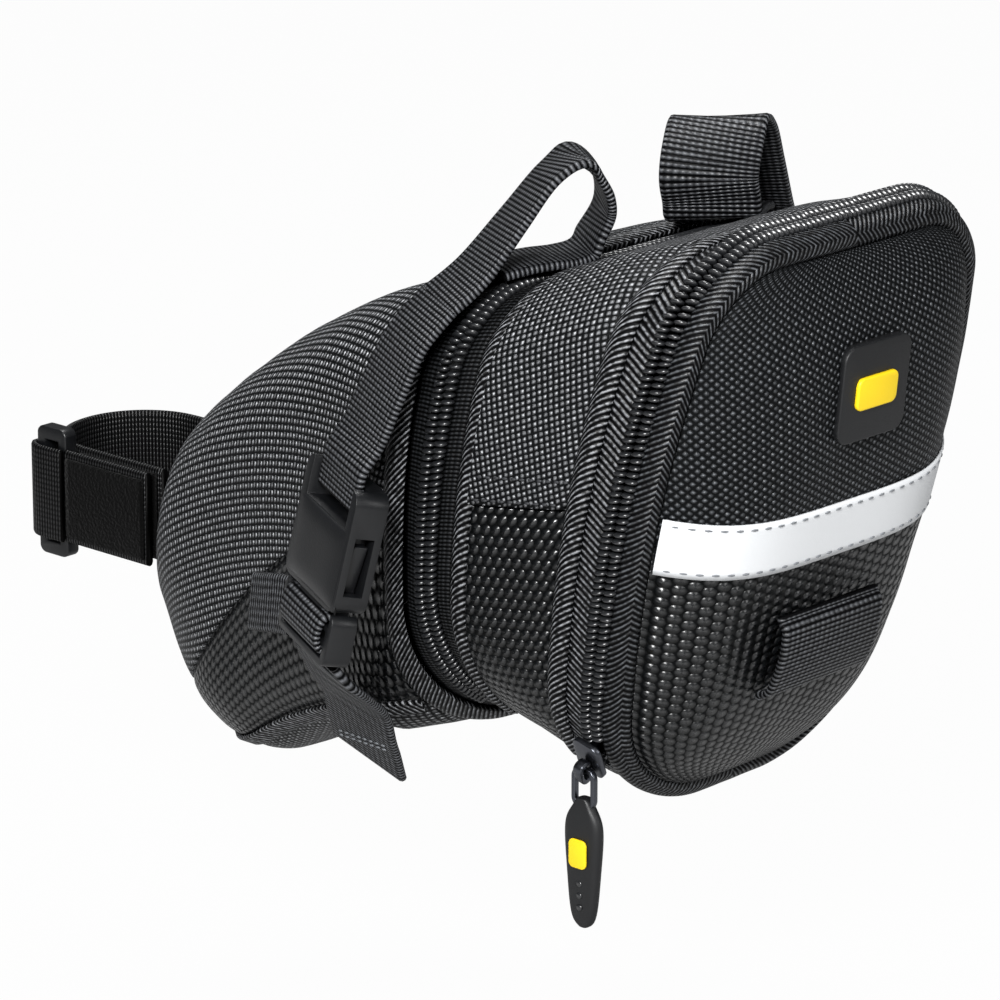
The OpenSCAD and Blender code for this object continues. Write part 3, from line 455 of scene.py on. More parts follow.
def grid(points, uvs, closed=False, turn=False):
    """A bmesh grid moved onto a table of points in mm, rows by columns, with its UV map in mm."""
    rows, cols = points.shape[:2]
    bm = bmesh.new()
    cloth = bm.loops.layers.uv.new("cloth")
    bmesh.ops.create_grid(bm, x_segments=cols - 1, y_segments=rows - 1, size=1)
    spot = {v: (round((v.co.y + 1) / 2 * (rows - 1)), round((v.co.x + 1) / 2 * (cols - 1))) for v in bm.verts}
    for face in bm.faces:
        for corner in face.loops:
            corner[cloth].uv = uvs[spot[corner.vert]] * MM
    for v, place in spot.items():
        v.co = points[place] * MM
    if closed:
        bmesh.ops.remove_doubles(bm, verts=bm.verts, dist=1e-6)
    if turn:
        bmesh.ops.reverse_faces(bm, faces=bm.faces)
    return bm


def close(bm):
    """Fills the open ends of a shell and turns its faces outwards."""
    bmesh.ops.holes_fill(bm, edges=[e for e in bm.edges if e.is_boundary])
    bmesh.ops.recalc_face_normals(bm, faces=bm.faces)


def lengths(points):
    """Distances along the rows and the columns of a table, as a UV map in mm."""
    down = np.cumsum(np.linalg.norm(np.diff(points, axis=0), axis=2).mean(1))
    along = np.cumsum(np.linalg.norm(np.diff(points, axis=1), axis=2).mean(0))
    u, v = np.concatenate([[0], along]), np.concatenate([[0], down])
    return np.stack(np.meshgrid(u - u[-1] / 2, v - v[-1] / 2), 2)


def outward(points, centre):
    """Unit normals of a table, away from a centre, and whether the grid has to be turned for them."""
    normals = np.cross(np.gradient(points, axis=1), np.gradient(points, axis=0))
    normals /= np.maximum(np.linalg.norm(normals, axis=2, keepdims=True), 1e-9)
    turn = np.sum(normals * (points - centre)) < 0
    return (-normals if turn else normals), bool(turn)


def sheet(name, points, material, body, stands_for=(), wall=1.6, lift=0.0, swell=0.0, dips=(0, 0, 0, 0),
          slack=0.0, centre=(0, 10, -70), closed=False, grip=2.4):
    """A sewn panel. dips are the depths of the seams at its first row, last row, first and last column."""
    points = np.array(points, float)
    uvs = lengths(points)
    normals, turn = outward(points, np.array(centre, float))
    u, v = uvs[..., 0] - uvs[..., 0].min(), uvs[..., 1] - uvs[..., 1].min()
    wide, tall = u.max(), v.max()
    rise = lift + swell * np.sin(math.pi * u / wide) ** 0.6 * np.sin(math.pi * v / tall) ** 0.6
    for depth, away in zip(dips, (v, tall - v, u, wide - u)):
        rise = rise - depth * np.exp(-(away / grip) ** 2)
    if slack:
        calm = np.minimum(1, np.minimum(np.minimum(u, wide - u), np.minimum(v, tall - v)) / calm_edge)
        drift = [[noise.noise(Vector(p) / long_wave) + 0.5 * noise.noise(Vector(p) / short_wave) for p in row]
                 for row in points]
        rise = rise + slack * calm * np.array(drift)
    bm = grid(points + normals * rise[..., None], uvs, closed, turn)
    return make(name, bm, material, body, stands_for, wall)


def profile(width, thick, count=5):
    """Points round a flat webbing's cross-section, its edges rounded, first point repeated at the end."""
    r = thick / 2
    bend = np.linspace(-math.pi / 2, math.pi / 2, count)
    right = np.stack([width / 2 - r + r * np.cos(bend), r * np.sin(bend)], 1)
    return np.concatenate([right, -right, right[:1]])


def smooth(path, steps=8):
    """A Catmull-Rom curve through given points."""
    p = np.array(path, float)
    p = np.concatenate([p[:1], p, p[-1:]])
    t = np.linspace(0, 1, steps, endpoint=False)[:, None]
    runs = [0.5 * (2 * b + (c - a) * t + (2 * a - 5 * b + 4 * c - d) * t ** 2
                   + (3 * b - a - 3 * c + d) * t ** 3)
            for a, b, c, d in zip(p, p[1:], p[2:], p[3:])]
    return np.concatenate(runs + [p[-1:]])


def unit(a):
    return a / np.maximum(np.linalg.norm(a, axis=-1, keepdims=True), 1e-9)


def strap(name, path, side, width, thick, material, body, stands_for=(), steps=8):
    """Webbing along a path; side gives the direction of its width at each point."""
    line, hint = smooth(path, steps), smooth(side, steps)
    along = unit(np.gradient(line, axis=0))
    across = unit(hint - along * np.sum(along * hint, 1)[:, None])
    face = np.cross(along, across)
    edge = profile(width, thick)
    points = line[:, None] + across[:, None] * edge[None, :, :1] + face[:, None] * edge[None, :, 1:]
    uvs = np.stack(np.broadcast_arrays(travelled(line)[:, None], edge[None, :, 0]), 2)
    bm = grid(points, uvs, closed=True)
    close(bm)
    return make(name, bm, material, body, stands_for)


def frame_of(x, y, z, place):
    """A matrix from three scaled axes and a place, all in mm."""
    rows = [Vector((x[k], y[k], z[k], place[k])) * MM for k in range(3)]
    return Matrix((*rows, (0, 0, 0, 1)))


def beads(name, places, material, body, stands_for=(), u_segments=8, v_segments=5):
    """Many small ellipsoids in one mesh, each with its three half axes."""
    bm = bmesh.new()
    for x, y, z, place in places:
        bmesh.ops.create_uvsphere(bm, u_segments=u_segments, v_segments=v_segments, radius=1,
                                  matrix=frame_of(x, y, z, place))
    bmesh.ops.recalc_face_normals(bm, faces=bm.faces)
    return make(name, bm, material, body, stands_for)


def walk(line, step, start=0.0):
    """Points every step mm along a polyline, and their directions."""
    arc = travelled(line)
    where = np.arange(start, arc[-1], step)
    ways = unit(np.gradient(line, axis=0))
    return (np.stack([np.interp(where, arc, line[:, k]) for k in range(3)], 1),
            unit(np.stack([np.interp(where, arc, ways[:, k]) for k in range(3)], 1)))


def stitches(name, line, out, thread, body, pitch, long, thin):
    """A row of lockstitches along a line; out is the direction off the cloth at each point of the line."""
    spots, ways = walk(line, pitch, pitch / 2)
    arc = np.linspace(0, 1, len(line))
    outs = np.stack([np.interp(np.linspace(0, 1, len(spots)), arc, out[:, k]) for k in range(3)], 1)
    places = [(w * long, unit(np.cross(o, w)) * thin * 1.3, unit(o) * thin, p)
              for p, w, o in zip(spots, ways, outs)]
    return beads(name, places, thread, body, (), 6, 4)


print("helpers ready")

# %% [markdown]
# ## Front section
# The wedge that reaches to the seatpost: woven cloth over the top and round the nose, vinyl low on both
# sides, and a plain base. On a sewing table each is one cut sheet, so each is one lofted grid here, from
# the rim to the nose. The wall stands a little proud at the rim, where the binding rolls over it.

# %% Front panels
shell_start = 13 / reach
rim_proud, proud_reach = 1.8, 0.3
front_centre = (0, 55, -82)
front_rows = np.concatenate([np.linspace(shell_start, nose_start, 34)[:-1],
                             1 - nose_radius / reach * (1 - np.sin(np.linspace(0, 1, 15) * math.pi / 2))])
flank_spans = (("left", "left_fold", "left_seam"), ("right", "right_seam", "right_fold"))


def front_span(u, start, end, count, more=0.0):
    """Points on the front wall's outline at u, which stands proud near the rim."""
    s = front_section(u)
    proud = rim_proud * max(0.0, 1 - (u - shell_start) / proud_reach)
    return seat(s, span(s, -proud - more, start, end, count))


def front_loft(start, end, count):
    return np.array([front_span(u, start, end, count) for u in front_rows])


front_top = sheet("front_top", front_loft("left_seam", "right_seam", 110), coarse_nylon, FRONT,
                  ["front_upper_panel"], swell=0.6, dips=(0.9, 0, 0.0, 0.0), slack=0.5,
                  centre=front_centre)
for side, start, end in flank_spans:
    sheet(f"front_flank_{side}", front_loft(start, end, 30), embossed_vinyl, FRONT,
          [f"front_side_{side}"], swell=0.5, dips=(0.9, 0, 0.5, 0.5), slack=0.3,
          centre=front_centre)
sheet("front_base", front_loft("right_fold", "left_fold", 46), coarse_nylon, FRONT,
      ["front_base_panel"], swell=0.4, dips=(0.9, 0, 0.3, 0.3), slack=0.3, centre=front_centre)
tip = front_section(1.0)
tip_ring = span(tip, 0, "foot", "end", 49)
cap_rows = [seat(tip, tip_ring * k, -0.9 * (1 - k * k)) for k in np.linspace(1, 0.02, 8)]
sheet("nose_cap", cap_rows, coarse_nylon, FRONT, ["nose_panel"],
      centre=front_centre, closed=True)
print("front panels", len(front_top.data.polygons), "faces on the top")


# %% [markdown]
# A binding rolls over the raw edges at the rim, and narrower ones cover the seam between flank and base.
# They could be swept tubes; a lofted band with a rounded section follows the leaning outlines better.

# %% Rim binding and base bindings
def ring_band(a_from, a_to, out, bulge, count, start="left_fold", end="right_fold", around=220):
    """Rows of a band round the bag, out mm proud at its edges and bulge more in the middle."""
    rows = []
    for k in np.linspace(0, 1, count):
        s = sleeve_section(a_from + (a_to - a_from) * k)
        rows.append(seat(s, span(s, -(out + bulge * math.sin(math.pi * k)), start, end, around)))
    return np.array(rows)


sheet("rim_binding", ring_band(-13.4, -7.0, 0.9, 1.4, 9, "foot", "end"), binding_tape, FRONT,
      ["front_rim_binding"], wall=1.4, closed=True)
base_axis = [0, 0, -80]
for side in ("left", "right"):
    fold_line = np.array([front_span(u, f"{side}_fold", "end", 3, 0.5)[0]
                          for u in np.linspace(shell_start, 0.965, 40)])
    fold_out = unit(fold_line - (fold_line * [0, 1, 0] + base_axis))
    fold_side = unit(np.cross(np.gradient(fold_line, axis=0), fold_out))
    strap(f"base_binding_{side}", fold_line[::3], fold_side[::3], 4.2, 1.1, binding_tape, FRONT,
          steps=4)
print("bindings made")

# %% [markdown]
# ## Expansion zipper
# A coil zipper runs round the bag between the two sections. Its tapes are flat cloth and its chain is a
# nylon spiral on each side whose loops hook into the other's. A helix would be truer, but from a step away
# each loop reads as a bead lying across the tape, so two rows of tilted beads make the chain. Inside, a
# gusset joins the sections; it is left on no body.

# %% Coil chain
coil_pitch, coil_centre = 1.45, [0, 10, -66]
loop_long, loop_thin, loop_tall, loop_inset = 1.6, 0.56, 1.2, 1.0


def chain(name, rows, lean, body, stands_for, start):
    """One half of a chain. rows holds the tape's edge line and a line beside it, to give the directions."""
    edge, beside = rows
    spots, ways = walk(edge, coil_pitch, start)
    inner = np.array([beside[np.argmin(np.linalg.norm(beside - p, axis=1))] for p in spots])
    side = unit(inner - spots)
    out = unit(np.cross(ways, side))
    out = np.where(np.sum(out * (spots - coil_centre), 1)[:, None] < 0, -out, out)
    tilt = unit(side + ways * lean)
    cross = unit(np.cross(out, tilt))
    places = [(t * loop_long, c * loop_thin, o * loop_tall, p + s * loop_inset)
              for t, c, o, p, s in zip(tilt, cross, out, spots, side)]
    return beads(name, places, coil_nylon, body, stands_for, 8, 6)


for half, sign in (("front", -1), ("rear", 1)):
    body = f"{half}_section"
    tape = ring_band(*sorted((2.2 * sign, 7.2 * sign)), -0.5, 0.2, 5)
    sheet(f"expansion_tape_{half}", tape, zipper_tape, body, [f"expansion_tape_{half}"],
          wall=1.0)
    lines = [ring_band(a, a + 0.1, 0.1, 0, 2, around=400)[0] for a in (0.35 * sign, 3 * sign)]
    chain(f"expansion_chain_{half}", lines, 0.35 * sign, body, [f"expansion_coil_{half}"],
          0.4 + 0.72 * (sign > 0))
foot_tape = ring_band(-7.2, -0.4, -0.5, 0, 4, "right_fold", "left_fold", 60)
sheet("expansion_foot", foot_tape, zipper_tape, FRONT, wall=1.0)
gusset = sheet("gusset", ring_band(-5, 5, -1.3, -2.9, 9, "foot", "end", 160), lining, None,
               ["expansion_gusset"], wall=0.8, closed=True)
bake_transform(gusset)
print("expansion zipper made")

# %% [markdown]
# ## Rear sleeve
# The middle of the bag: woven cloth above, vinyl below, with a doubled hem where the cloth laps over the
# vinyl. The hem's two rows of stitches are real little beads of thread, because they catch the light.

# %% Sleeve panels
sleeve_start, sleeve_end = 6.8, 32.2


def sleeve_loft(a_from, a_to, start, end, rows, count, out=0.0):
    return np.array([seat(s, span(s, -out, start, end, count))
                     for s in (sleeve_section(a) for a in np.linspace(a_from, a_to, rows))])


top_rows = sleeve_loft(sleeve_start, sleeve_end, "left_seam", "right_seam", 18, 130, 0.9)
sheet("sleeve_top", top_rows, coarse_nylon, REAR, ["sleeve_upper_panel"],
      swell=0.7, dips=(0.7, 0.9, 0, 0), slack=0.5)
for side, start, end in flank_spans:
    sheet(f"sleeve_flank_{side}", sleeve_loft(sleeve_start, sleeve_end, start, end, 18, 32), embossed_vinyl,
          REAR, [f"sleeve_side_{side}"], swell=0.5, dips=(0.7, 0.9, 0.4, 0.4),
          slack=0.3)
sheet("sleeve_base", sleeve_loft(0.5, 42.4, "right_fold", "left_fold", 26, 50), coarse_nylon, REAR,
      ["sleeve_base_panel"], swell=0.3, dips=(0.4, 0.4, 0.3, 0.3), slack=0.3)
sheet("sleeve_binding", ring_band(6.4, 10.2, 0.2, 0.9, 7), binding_tape, REAR, wall=1.0)

hem_sections = [sleeve_section(a) for a in np.linspace(11, 31, 12)]
hem_proud = 1.5
for row, rise in (("low", 1.2), ("high", 6.2)):
    for side, sign in (("left", -1), ("right", 1)):
        hem_line = np.concatenate([
            seat(s, [[sign * half_width(s, -hem_proud, np.array([s[SEAM] + rise]))[0], s[SEAM] + rise]])
            for s in hem_sections])
        stitches(f"sleeve_hem_{row}_{side}", hem_line, np.tile([sign, 0.0, 0.0], (len(hem_line), 1)),
                 dark_thread, REAR, 2.0, 0.72, 0.26)
print("sleeve made")

# %% [markdown]
# ## Main zipper
# The lid closes with a heavier coil. Its sleeve-side tape is sewn under a rolled binding, so the band has
# a round ridge next to the sleeve and a flat strip next to the coil.

# %% Main zipper
sheet("main_binding", ring_band(31.2, 36.0, 0.3, 1.3, 8), binding_tape, REAR,
      ["main_tape"], wall=1.2)
sheet("main_tape", ring_band(35.4, 40.8, -0.1, 0.0, 5), counter_tape, REAR, wall=1.0)


def lid_ring(off, skip=0):
    line = seat(lid_section, span(lid_section, -0.3, "left_fold", "right_fold", 400), off)
    return line[skip:len(line) - skip]


chain("main_chain_sleeve", [lid_ring(-0.35), lid_ring(-3)], -0.35, REAR, ["main_coil_sleeve"], 0.4)
chain("main_chain_lid", [lid_ring(0.6, 14), lid_ring(3.2, 14)], 0.35, LID, ["main_coil_lid"], 1.1)
print("main zipper made")

# %% [markdown]
# ## Lid
# The lid is a shallow dish: a rolled band from the zipper to the face, then woven cloth above and vinyl
# below. At the foot the band and the vinyl run on past the fold without a seam, so those two sheets are
# left on no body instead of riding on one. A short strip under the fold closes the foot.

# %% Lid band and face
lid_edge, lid_depth, lid_dome, lid_join = 4.0, 7.0, 12.0, -1.0
lid_up, lid_low = lid_section[UP] - lid_edge, lid_section[LOW] - lid_edge
lid_lean = math.radians(lid_section[LEAN])
lid_centre = (0, 60, -62)
row_crowding = 1.7


def lid_face(x_share, v, proud=0.0):
    """Points on the swollen face of the lid, x_share from -1 to 1 across it."""
    w = half_width(lid_section, lid_edge, np.array([v]))[0]
    f = np.atleast_1d(x_share)
    tall = lid_up if v > 0 else lid_low
    off = lid_depth + lid_dome * (1 - f ** 4) * (1 - (v / tall) ** 4) + proud
    return np.concatenate([seat(lid_section, [[k * w, v]], o) for k, o in zip(f, off)])


def lid_loop(d, off):
    return seat(lid_section, span(lid_section, d, "foot", "end", 260), off)


band_rows = [lid_loop(lid_edge * (1 - math.cos(t)) - 0.9 * math.sin(t),
                      2.4 + (lid_depth - 2.2) * math.sin(t) ** 0.9)
             for t in np.radians(np.linspace(0, 90, 13))]
band_rows.append(lid_loop(lid_edge + 1.4, lid_depth - 1.2))
lid_band = sheet("lid_band", band_rows, lid_twill, None, ["lid_edge_band", "lid_foot_band"],
                 wall=1.0, slack=0.35, closed=True)
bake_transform(lid_band)
shares = np.sin(np.linspace(-1, 1, 65) * math.pi / 2)
upper_heights = lid_up - (lid_up - lid_join) * np.linspace(1, 0, 52) ** row_crowding
sheet("lid_top", [lid_face(shares, v) for v in upper_heights], lid_nylon, LID,
      ["lid_upper_panel"], wall=1.4, swell=0.2, dips=(0, 0.6, 0.6, 0.6), slack=0.4, centre=lid_centre)
lower_heights = -lid_low + (lid_low + lid_join) * np.linspace(0, 1, 56) ** row_crowding
lid_vinyl = sheet("lid_vinyl", [lid_face(shares, v) for v in lower_heights], embossed_vinyl, None,
                  ["lid_lower_panel", "lid_foot_panel"], wall=1.4, swell=0.2,
                  dips=(0.6, 0, 0.6, 0.6), slack=0.4, centre=lid_centre)
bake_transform(lid_vinyl)
foot_line = span(lid_section, 0.4, "right_fold", "left_fold", 50)
sheet("lid_foot", [seat(lid_section, foot_line, off) for off in (-1, 0.6, 2.2, 3.6)], lid_twill,
      REAR, wall=0.8)
print("lid made")

# %% [markdown]
# ### Reflective strip, light loop and patch
# The strip is glass-bead tape sewn flat along both edges. The loop below it is a short piece of webbing,
# sewn at top and bottom, that a lamp's clip slides into. The patch is a moulded rubber tile with a raised
# border and a plain coloured inlay.

# %% Lid trim
strip_half, stitch_height = 6.0, 4.9
strip_rows = [lid_face(shares * 0.995, v, 0.25) for v in np.linspace(-strip_half, strip_half, 9)]
sheet("strip", strip_rows, reflective, LID, ["reflective_strip"], wall=0.5,
      lift=0.5, centre=lid_centre)
for edge, v in (("upper", stitch_height), ("lower", -stitch_height)):
    strip_line = lid_face(np.sin(np.linspace(-0.9, 0.9, 120) * math.pi / 2), v, 0.85)
    strip_out = unit(np.cross(np.gradient(strip_line, axis=0), [0, -math.sin(lid_lean), math.cos(lid_lean)]))
    stitches(f"strip_stitch_{edge}", strip_line, strip_out, pale_thread, LID, 3.3,
             0.9, 0.2)


def on_lid(v, off):
    return seat(lid_section, [[0, v]], off)[0]


loop_points = [(-16.6, 20.0), (-17.6, 20.4), (-19.4, 22.0), (-26, 22.4),
               (-32.6, 21.2), (-34.4, 19.3), (-35.4, 18.8)]
strap("light_loop", [on_lid(v, off) for v, off in loop_points], [[1, 0, 0]] * len(loop_points), 30, 1.5,
      webbing, LID, ["light_loop"])


def tile(name, v, w, h, r, off, thick, material, stands_for, border=0.0):
    """A rounded plate on the lid's face: a beveled grid square, extruded and softened at its upper edge."""
    bm = bmesh.new()
    bmesh.ops.create_grid(bm, x_segments=1, y_segments=1, size=0.5)
    bmesh.ops.scale(bm, vec=(w, h, 1), verts=bm.verts)
    bmesh.ops.bevel(bm, geom=bm.verts[:], offset=r, segments=6, profile=0.5, affect="VERTICES", material=-1)
    if border:
        bmesh.ops.inset_region(bm, faces=bm.faces[:], thickness=border)
        field = min(bm.faces, key=lambda f: f.calc_center_median().length)
        bmesh.ops.translate(bm, vec=(0, 0, -0.5), verts=field.verts)
    rim = [e for e in bm.edges if e.is_boundary]
    walls = bmesh.ops.extrude_edge_only(bm, edges=rim)["geom"]
    bmesh.ops.translate(bm, vec=(0, 0, -thick), verts=[g for g in walls if isinstance(g, bmesh.types.BMVert)])
    bmesh.ops.bevel(bm, geom=rim, offset=0.35, segments=3, profile=0.5, affect="EDGES", material=-1)
    close(bm)
    slope = math.atan(-4 * lid_dome * (v / lid_up) ** 3 / lid_up)
    turn = Matrix.Rotation(lid_lean + slope, 4, "X") @ Matrix.Rotation(math.radians(90), 4, "X")
    bmesh.ops.transform(bm, matrix=Matrix.Translation(Vector(on_lid(v, off))) @ turn, verts=bm.verts)
    bmesh.ops.scale(bm, vec=(MM, MM, MM), verts=bm.verts)
    return make(name, bm, material, LID, stands_for)


patch_height = 30
tile("patch", patch_height, 20, 20, 3, 19.6, 2.2, soft_rubber, ["rubber_patch"], 1.4)
tile("patch_inlay", patch_height, 12, 6.7, 1.6, 19.9, 1.0, yellow_rubber, ["patch_inlay"])
print("lid trim made")

# %% [markdown]
# ## Straps
# Webbing keeps its width and bends only across its thickness, so each strap is a flat ribbon swept along
# given points, with a hint of which way its width lies. The end that runs into a buckle is left on no body.
# Below the buckle the webbing is threaded over the plug, and its spare end hangs beside it.

# %% Rail straps
strap_width, strap_thick, thread_thick, tail_width = 20, 1.8, 1.6, 12
buckle_place = [-66, 30.2, -77.5]
buckle_turn = (Matrix.Rotation(math.radians(-24), 3, "Z") @ Matrix.Rotation(math.radians(12), 3, "Y")
               @ Matrix.Rotation(math.radians(4), 3, "X"))


def on_side(side, points):
    """Points or directions of the left side, mirrored for the right one."""
    return [[-p[0], p[1], p[2]] for p in points] if side == "right" else points


def like_buckle(p):
    """Turns a direction of the buckle's own frame into the bag's."""
    return np.array(buckle_turn @ Vector(p))


def in_buckle(p):
    return list(like_buckle(p) + buckle_place)


buckle_across = list(like_buckle((0, -1, 0)))
arch_path = [[-35, 13.6, -14.8], [-31.2, 11.3, -13.9], [-27, 8.7, -13.3], [-22.6, 6, -13],
             [-19.3, 3.9, -11.8], [-17.9, 3, -8.6], [-15.5, 1.75, -3.3], [-16.7, 2, 2.3], [-21, 3.95, 6.7],
             [-26.7, 6.45, 4.1], [-33.1, 9.7, -4.1], [-40.5, 13.5, -13.8], [-46.6, 17.05, -19.5]]
arch_side = [[-0.51, -0.84, 0.08]] * 3 + [
    [-0.52, -0.84, 0.08], [-0.54, -0.83, 0.1], [-0.57, -0.81, 0.1], [-0.62, -0.77, 0.07],
    [-0.66, -0.74, 0.05], [-0.67, -0.74, 0.05], [-0.64, -0.76, 0.05], [-0.59, -0.8, 0.03], [-0.53, -0.85, 0],
    [-0.5, -0.87, -0.02]]
end_path = [[-46.6, 17.05, -19.5], [-52.2, 20.2, -26.4], [-56.2, 22.7, -35.7], [-59.6, 24.9, -44.6]]
end_path += [in_buckle((-1.5, 0, z)) for z in (28, 24, 20)]
end_side = [[-0.5, -0.87, -0.02], [-0.47, -0.88, -0.04], [-0.44, -0.9, -0.06], [-0.43, -0.9, -0.07]]
end_side += [buckle_across] * 3
low_path = [in_buckle((1, 0, -11.7)), [-64.6, 31.4, -92.6], [-58.4, 33.6, -98.4], [-51.1, 36.6, -105.5],
            [-45.4, 39.9, -113.3], [-40, 43.4, -121.1]]
low_side = [list(like_buckle((0, 1, 0))), [0.43, 0.9, -0.05], [0.38, 0.91, -0.15], [0.31, 0.93, -0.2],
            [0.23, 0.97, -0.12], [0.14, 0.99, 0]]
tail_path = [in_buckle(p) for p in ((0, 13, -7.7), (-0.3, 18, -9), (-0.8, 24, -11), (-1, 30, -13))]
tail_side = [list(like_buckle((0, 0, 1)))] * len(tail_path)
thread_path = [in_buckle((x, 0, z)) for x, z in ((-1.6, -1.6), (-3.0, -2.4), (-3.7, -4.6), (-3.5, -7),
                                                 (-2.4, -8.6), (0, -9))]
thread_side = [buckle_across] * len(thread_path)
tab_stitch, tab_run, tab_out = [-44.9, 41, -115.7], [0.2, 0.98, -0.08], [-0.74, 0.12, -0.45]
tab_down, tab_row = [0.53, 0.35, -0.77], 1.6


def rail_strap(side, name, path, hint, node="", body=FRONT, width=strap_width, thick=strap_thick):
    """A piece of one side's webbing, from the left side's points, in place of a node if one is named."""
    stands_for = [f"{side}_{node}"] if node else []
    return strap(f"{side}_{name}", on_side(side, path), on_side(side, hint), width, thick, webbing, body,
                 stands_for)


for side in ("left", "right"):
    rail_strap(side, "arch", arch_path, arch_side, "rail_strap")
    end = rail_strap(side, "end", end_path, end_side, "strap_end", None)
    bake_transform(end)
    rail_strap(side, "lower", low_path, low_side, "lower_strap")
    spot, run, out, down = np.array(on_side(side, [tab_stitch, tab_run, tab_out, tab_down]))
    for row in (0, 1):
        tab_line = spot + down * tab_row * row + run * np.linspace(-9, 9, 12)[:, None]
        stitches(f"{side}_tab_stitch_{row}", tab_line, np.tile(out, (12, 1)), pale_thread, FRONT,
                 2.2, 0.8, 0.22)
    rail_strap(side, "threaded", thread_path, thread_side, thick=thread_thick)
    rail_strap(side, "tail", tail_path, tail_side, "strap_tail", width=tail_width)
print("straps made")

# %% [markdown]
# ### Seatpost strap
# A band goes round the post, turns through a ring, and folds back on itself with hook and loop. Its flap
# has a fuzzy face outside. All of it lies level, so each piece is drawn from above.

# %% Seatpost strap
post_width, post_height, post_y, post_radius = 21, -93, 152, 16.7
leg_places = (127, 136, 145)


def post_strap(name, plan, stands_for=(), body=FRONT, width=post_width, thick=strap_thick,
               material=shaded_post_webbing, steps=8):
    path = [(x, y, post_height) for x, y in plan]
    return strap(name, path, [[0, 0, 1]] * len(path), width, thick, material, body, stands_for,
                 steps)


post_bend = [(-post_radius * math.cos(t), post_y + post_radius * math.sin(t))
             for t in np.linspace(0, math.pi, 13)]
post_plan = [(-post_radius, y) for y in leg_places] + post_bend + [(post_radius, y) for y in leg_places[::-1]]
post_strap("post_band", post_plan, ["seatpost_wrap"], steps=4)
post_strap("post_anchor", [(-17.5, 125.2), (-8, 125.0), (8, 125.0), (17.5, 125.2)], ["seatpost_anchor"])
post_strap("post_turn", [(-22.1, 153.8), (-22.3, 157), (-22.2, 161), (-21, 163.6), (-19.4, 164.2),
                         (-17.4, 163), (-16.9, 160.4)], thick=1.4)
post_strap("post_flap", [(-21.2, 127.4), (-21.2, 136), (-21.2, 146), (-21.15, 153.2)], ["seatpost_flap"],
           "seatpost_flap")
for name, x, y_from, stands_for, body, inset, thick in (
        ("nap", -22.3, 128.2, [], "seatpost_flap", 3, 1.2),
        ("hook", -19.8, 128.4, ["hook_patch"], "seatpost_flap", 2, 0.9),
        ("loop", -18.25, 128.4, ["loop_patch"], FRONT, 2, 1.0)):
    post_strap(f"post_{name}", [(x, y_from), (x, 136), (x, 152)], stands_for, body, post_width - inset, thick,
               fuzz)
print("seatpost strap made")


# %% [markdown]
# ## Hard parts
# Buckles, rings and sliders are moulded or cast, and their shape is already in the frame. A copy of the
# node, with its loose triangles merged, its flat faces joined and its edges beveled, has the soft edges of
# a moulding. A slightly domed cheek covers each socket's outer face, and the seatpost ring is shortened to
# its strap's width.

# %% Softened copies of the frame's hard parts
def softened(node, body, material=acetal, edge=0.35):
    bm = bmesh.new()
    bm.from_mesh(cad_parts[node].data)
    bmesh.ops.remove_doubles(bm, verts=bm.verts, dist=2e-6)
    bmesh.ops.dissolve_limit(bm, angle_limit=math.radians(1), verts=bm.verts, edges=bm.edges)
    sharp = [e for e in bm.edges if len(e.link_faces) == 2 and e.calc_face_angle() > math.radians(40)]
    bmesh.ops.bevel(bm, geom=sharp, offset=edge * MM, segments=2, profile=0.5, affect="EDGES", material=-1,
                    clamp_overlap=True)
    piece = make(f"{node}_moulded", bm, material, body, [node])
    piece.data.set_sharp_from_angle(angle=math.radians(40))
    return piece


cheek_half, cheek_middle, cheek_tall, cheek_face, cheek_dome = 13.2, 8.7, 8.2, -3.4, 0.8
cheek = np.array([[in_buckle((cheek_face - cheek_dome * (1 - (y / cheek_half) ** 4)
                              * (1 - ((z - cheek_middle) / cheek_tall) ** 6), y, z))
                   for y in np.linspace(-cheek_half, cheek_half, 31)]
                  for z in np.linspace(cheek_middle - cheek_tall, cheek_middle + cheek_tall, 21)])
for side, flip in (("left", 1), ("right", -1)):
    sheet(f"{side}_cheek", cheek * [flip, 1, 1], acetal, f"{side}_socket", wall=0.7)
    softened(f"{side}_buckle_socket", f"{side}_socket")
    softened(f"{side}_buckle_plug", FRONT)
    for place in ("front", "rear"):
        softened(f"{side}_{place}_prong", f"{side}_{place}_prong")
ring_tall, ring_bars = 34, 8
post_ring = softened("seatpost_ring", FRONT)
ring_level = Matrix.Translation((0, 0, post_height * MM))
ring_scale = Matrix.Diagonal((1, 1, (post_width + ring_bars) / ring_tall, 1))
post_ring.data.transform(ring_level @ ring_scale @ ring_level.inverted())
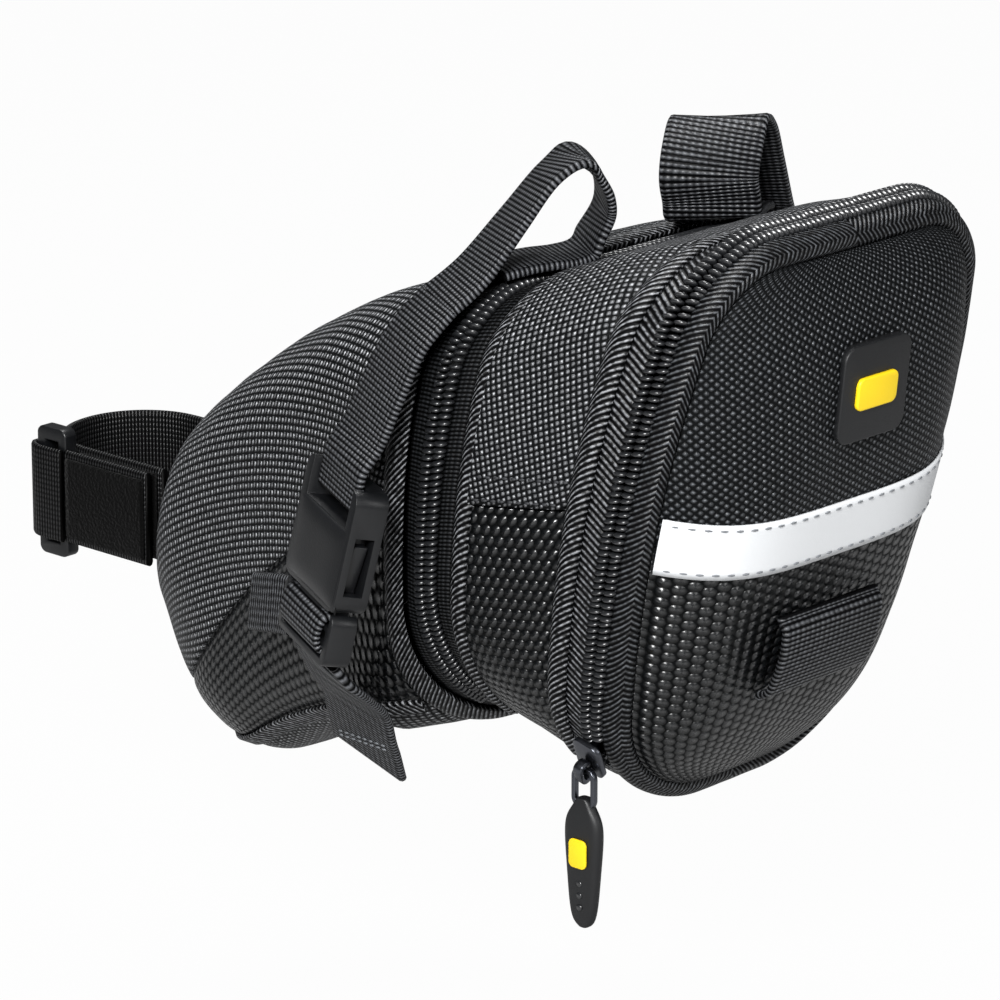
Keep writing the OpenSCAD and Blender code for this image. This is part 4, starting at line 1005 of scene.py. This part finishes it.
for node, body in (("main_slider", "main_slider"), ("slider_crown", "main_slider"),
                   ("pull_link", "main_pull"), ("expansion_slider", "expansion_slider"),
                   ("expansion_crown", "expansion_slider")):
    softened(node, body, plated_metal, 0.2)
softened("pull_inlay", "main_pull", yellow_rubber, 0.12)
softened("expansion_pull", "expansion_pull", soft_rubber, 0.2)
for node, material in (("base_stiffener", acetal), ("lid_stiffener", lining)):
    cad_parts[node].data.materials.clear()
    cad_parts[node].data.materials.append(material)
print("hard parts made")

# %% [markdown]
# ### Rubber pull
# The grip is a moulded rubber tongue, wide and thick below its head and tapering to a rounded tip, with
# three small dimples for the finger. Rings of one rounded section, scaled along the drop, give the taper.

# %% Rubber pull
grip_low, grip_high = (np.array(corner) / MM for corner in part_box("pull_grip"))
grip_middle, grip_size = (grip_low + grip_high) / 2, grip_high - grip_low
ring_drops = np.array([0.0, 0.15, 0.6, 2, 4.5, 8, 13, 18, 22, 25.2, 26.6, 27.2, 27.4])
ring_drops = ring_drops * grip_size[2] / ring_drops[-1]
down_share = ring_drops / ring_drops[-1]
ring_widths = np.interp(down_share, [0, 0.02, 0.08, 0.16, 0.3, 0.9, 0.97, 1],
                        [0.3, 0.5, 0.75, 1.25, 1.32, 0.9, 0.6, 0.2])
ring_depths = np.interp(down_share, [0, 0.1, 0.3, 0.9, 1], [0.7, 0.9, 1.0, 0.8, 0.35])
grip_ring = profile(grip_size[1], grip_size[0], 7)
tongue = np.array([[(grip_middle[0] + deep * y, grip_middle[1] + wide * x, grip_high[2] - drop)
                    for x, y in grip_ring] for drop, wide, deep in zip(ring_drops, ring_widths, ring_depths)])
tongue_mesh = grid(tongue, lengths(tongue), closed=True)
close(tongue_mesh)
grip = make("pull_tongue", tongue_mesh, soft_rubber, "main_pull", ["pull_grip"])
rounding = grip.modifiers.new("rounding", "SUBSURF")
rounding.levels = rounding.render_levels = 2
dimple_sink = 0.25
beads("pull_dimples", [((dimple_sink, 0, 0), (0, 0.8, 0), (0, 0, 0.7),
                        (grip_low[0] + dimple_sink, grip_middle[1], grip_low[2] + z)) for z in (4.5, 7, 9.5)],
      coil_nylon, "main_pull")
print("pull made", np.round(grip_size, 1), "mm")
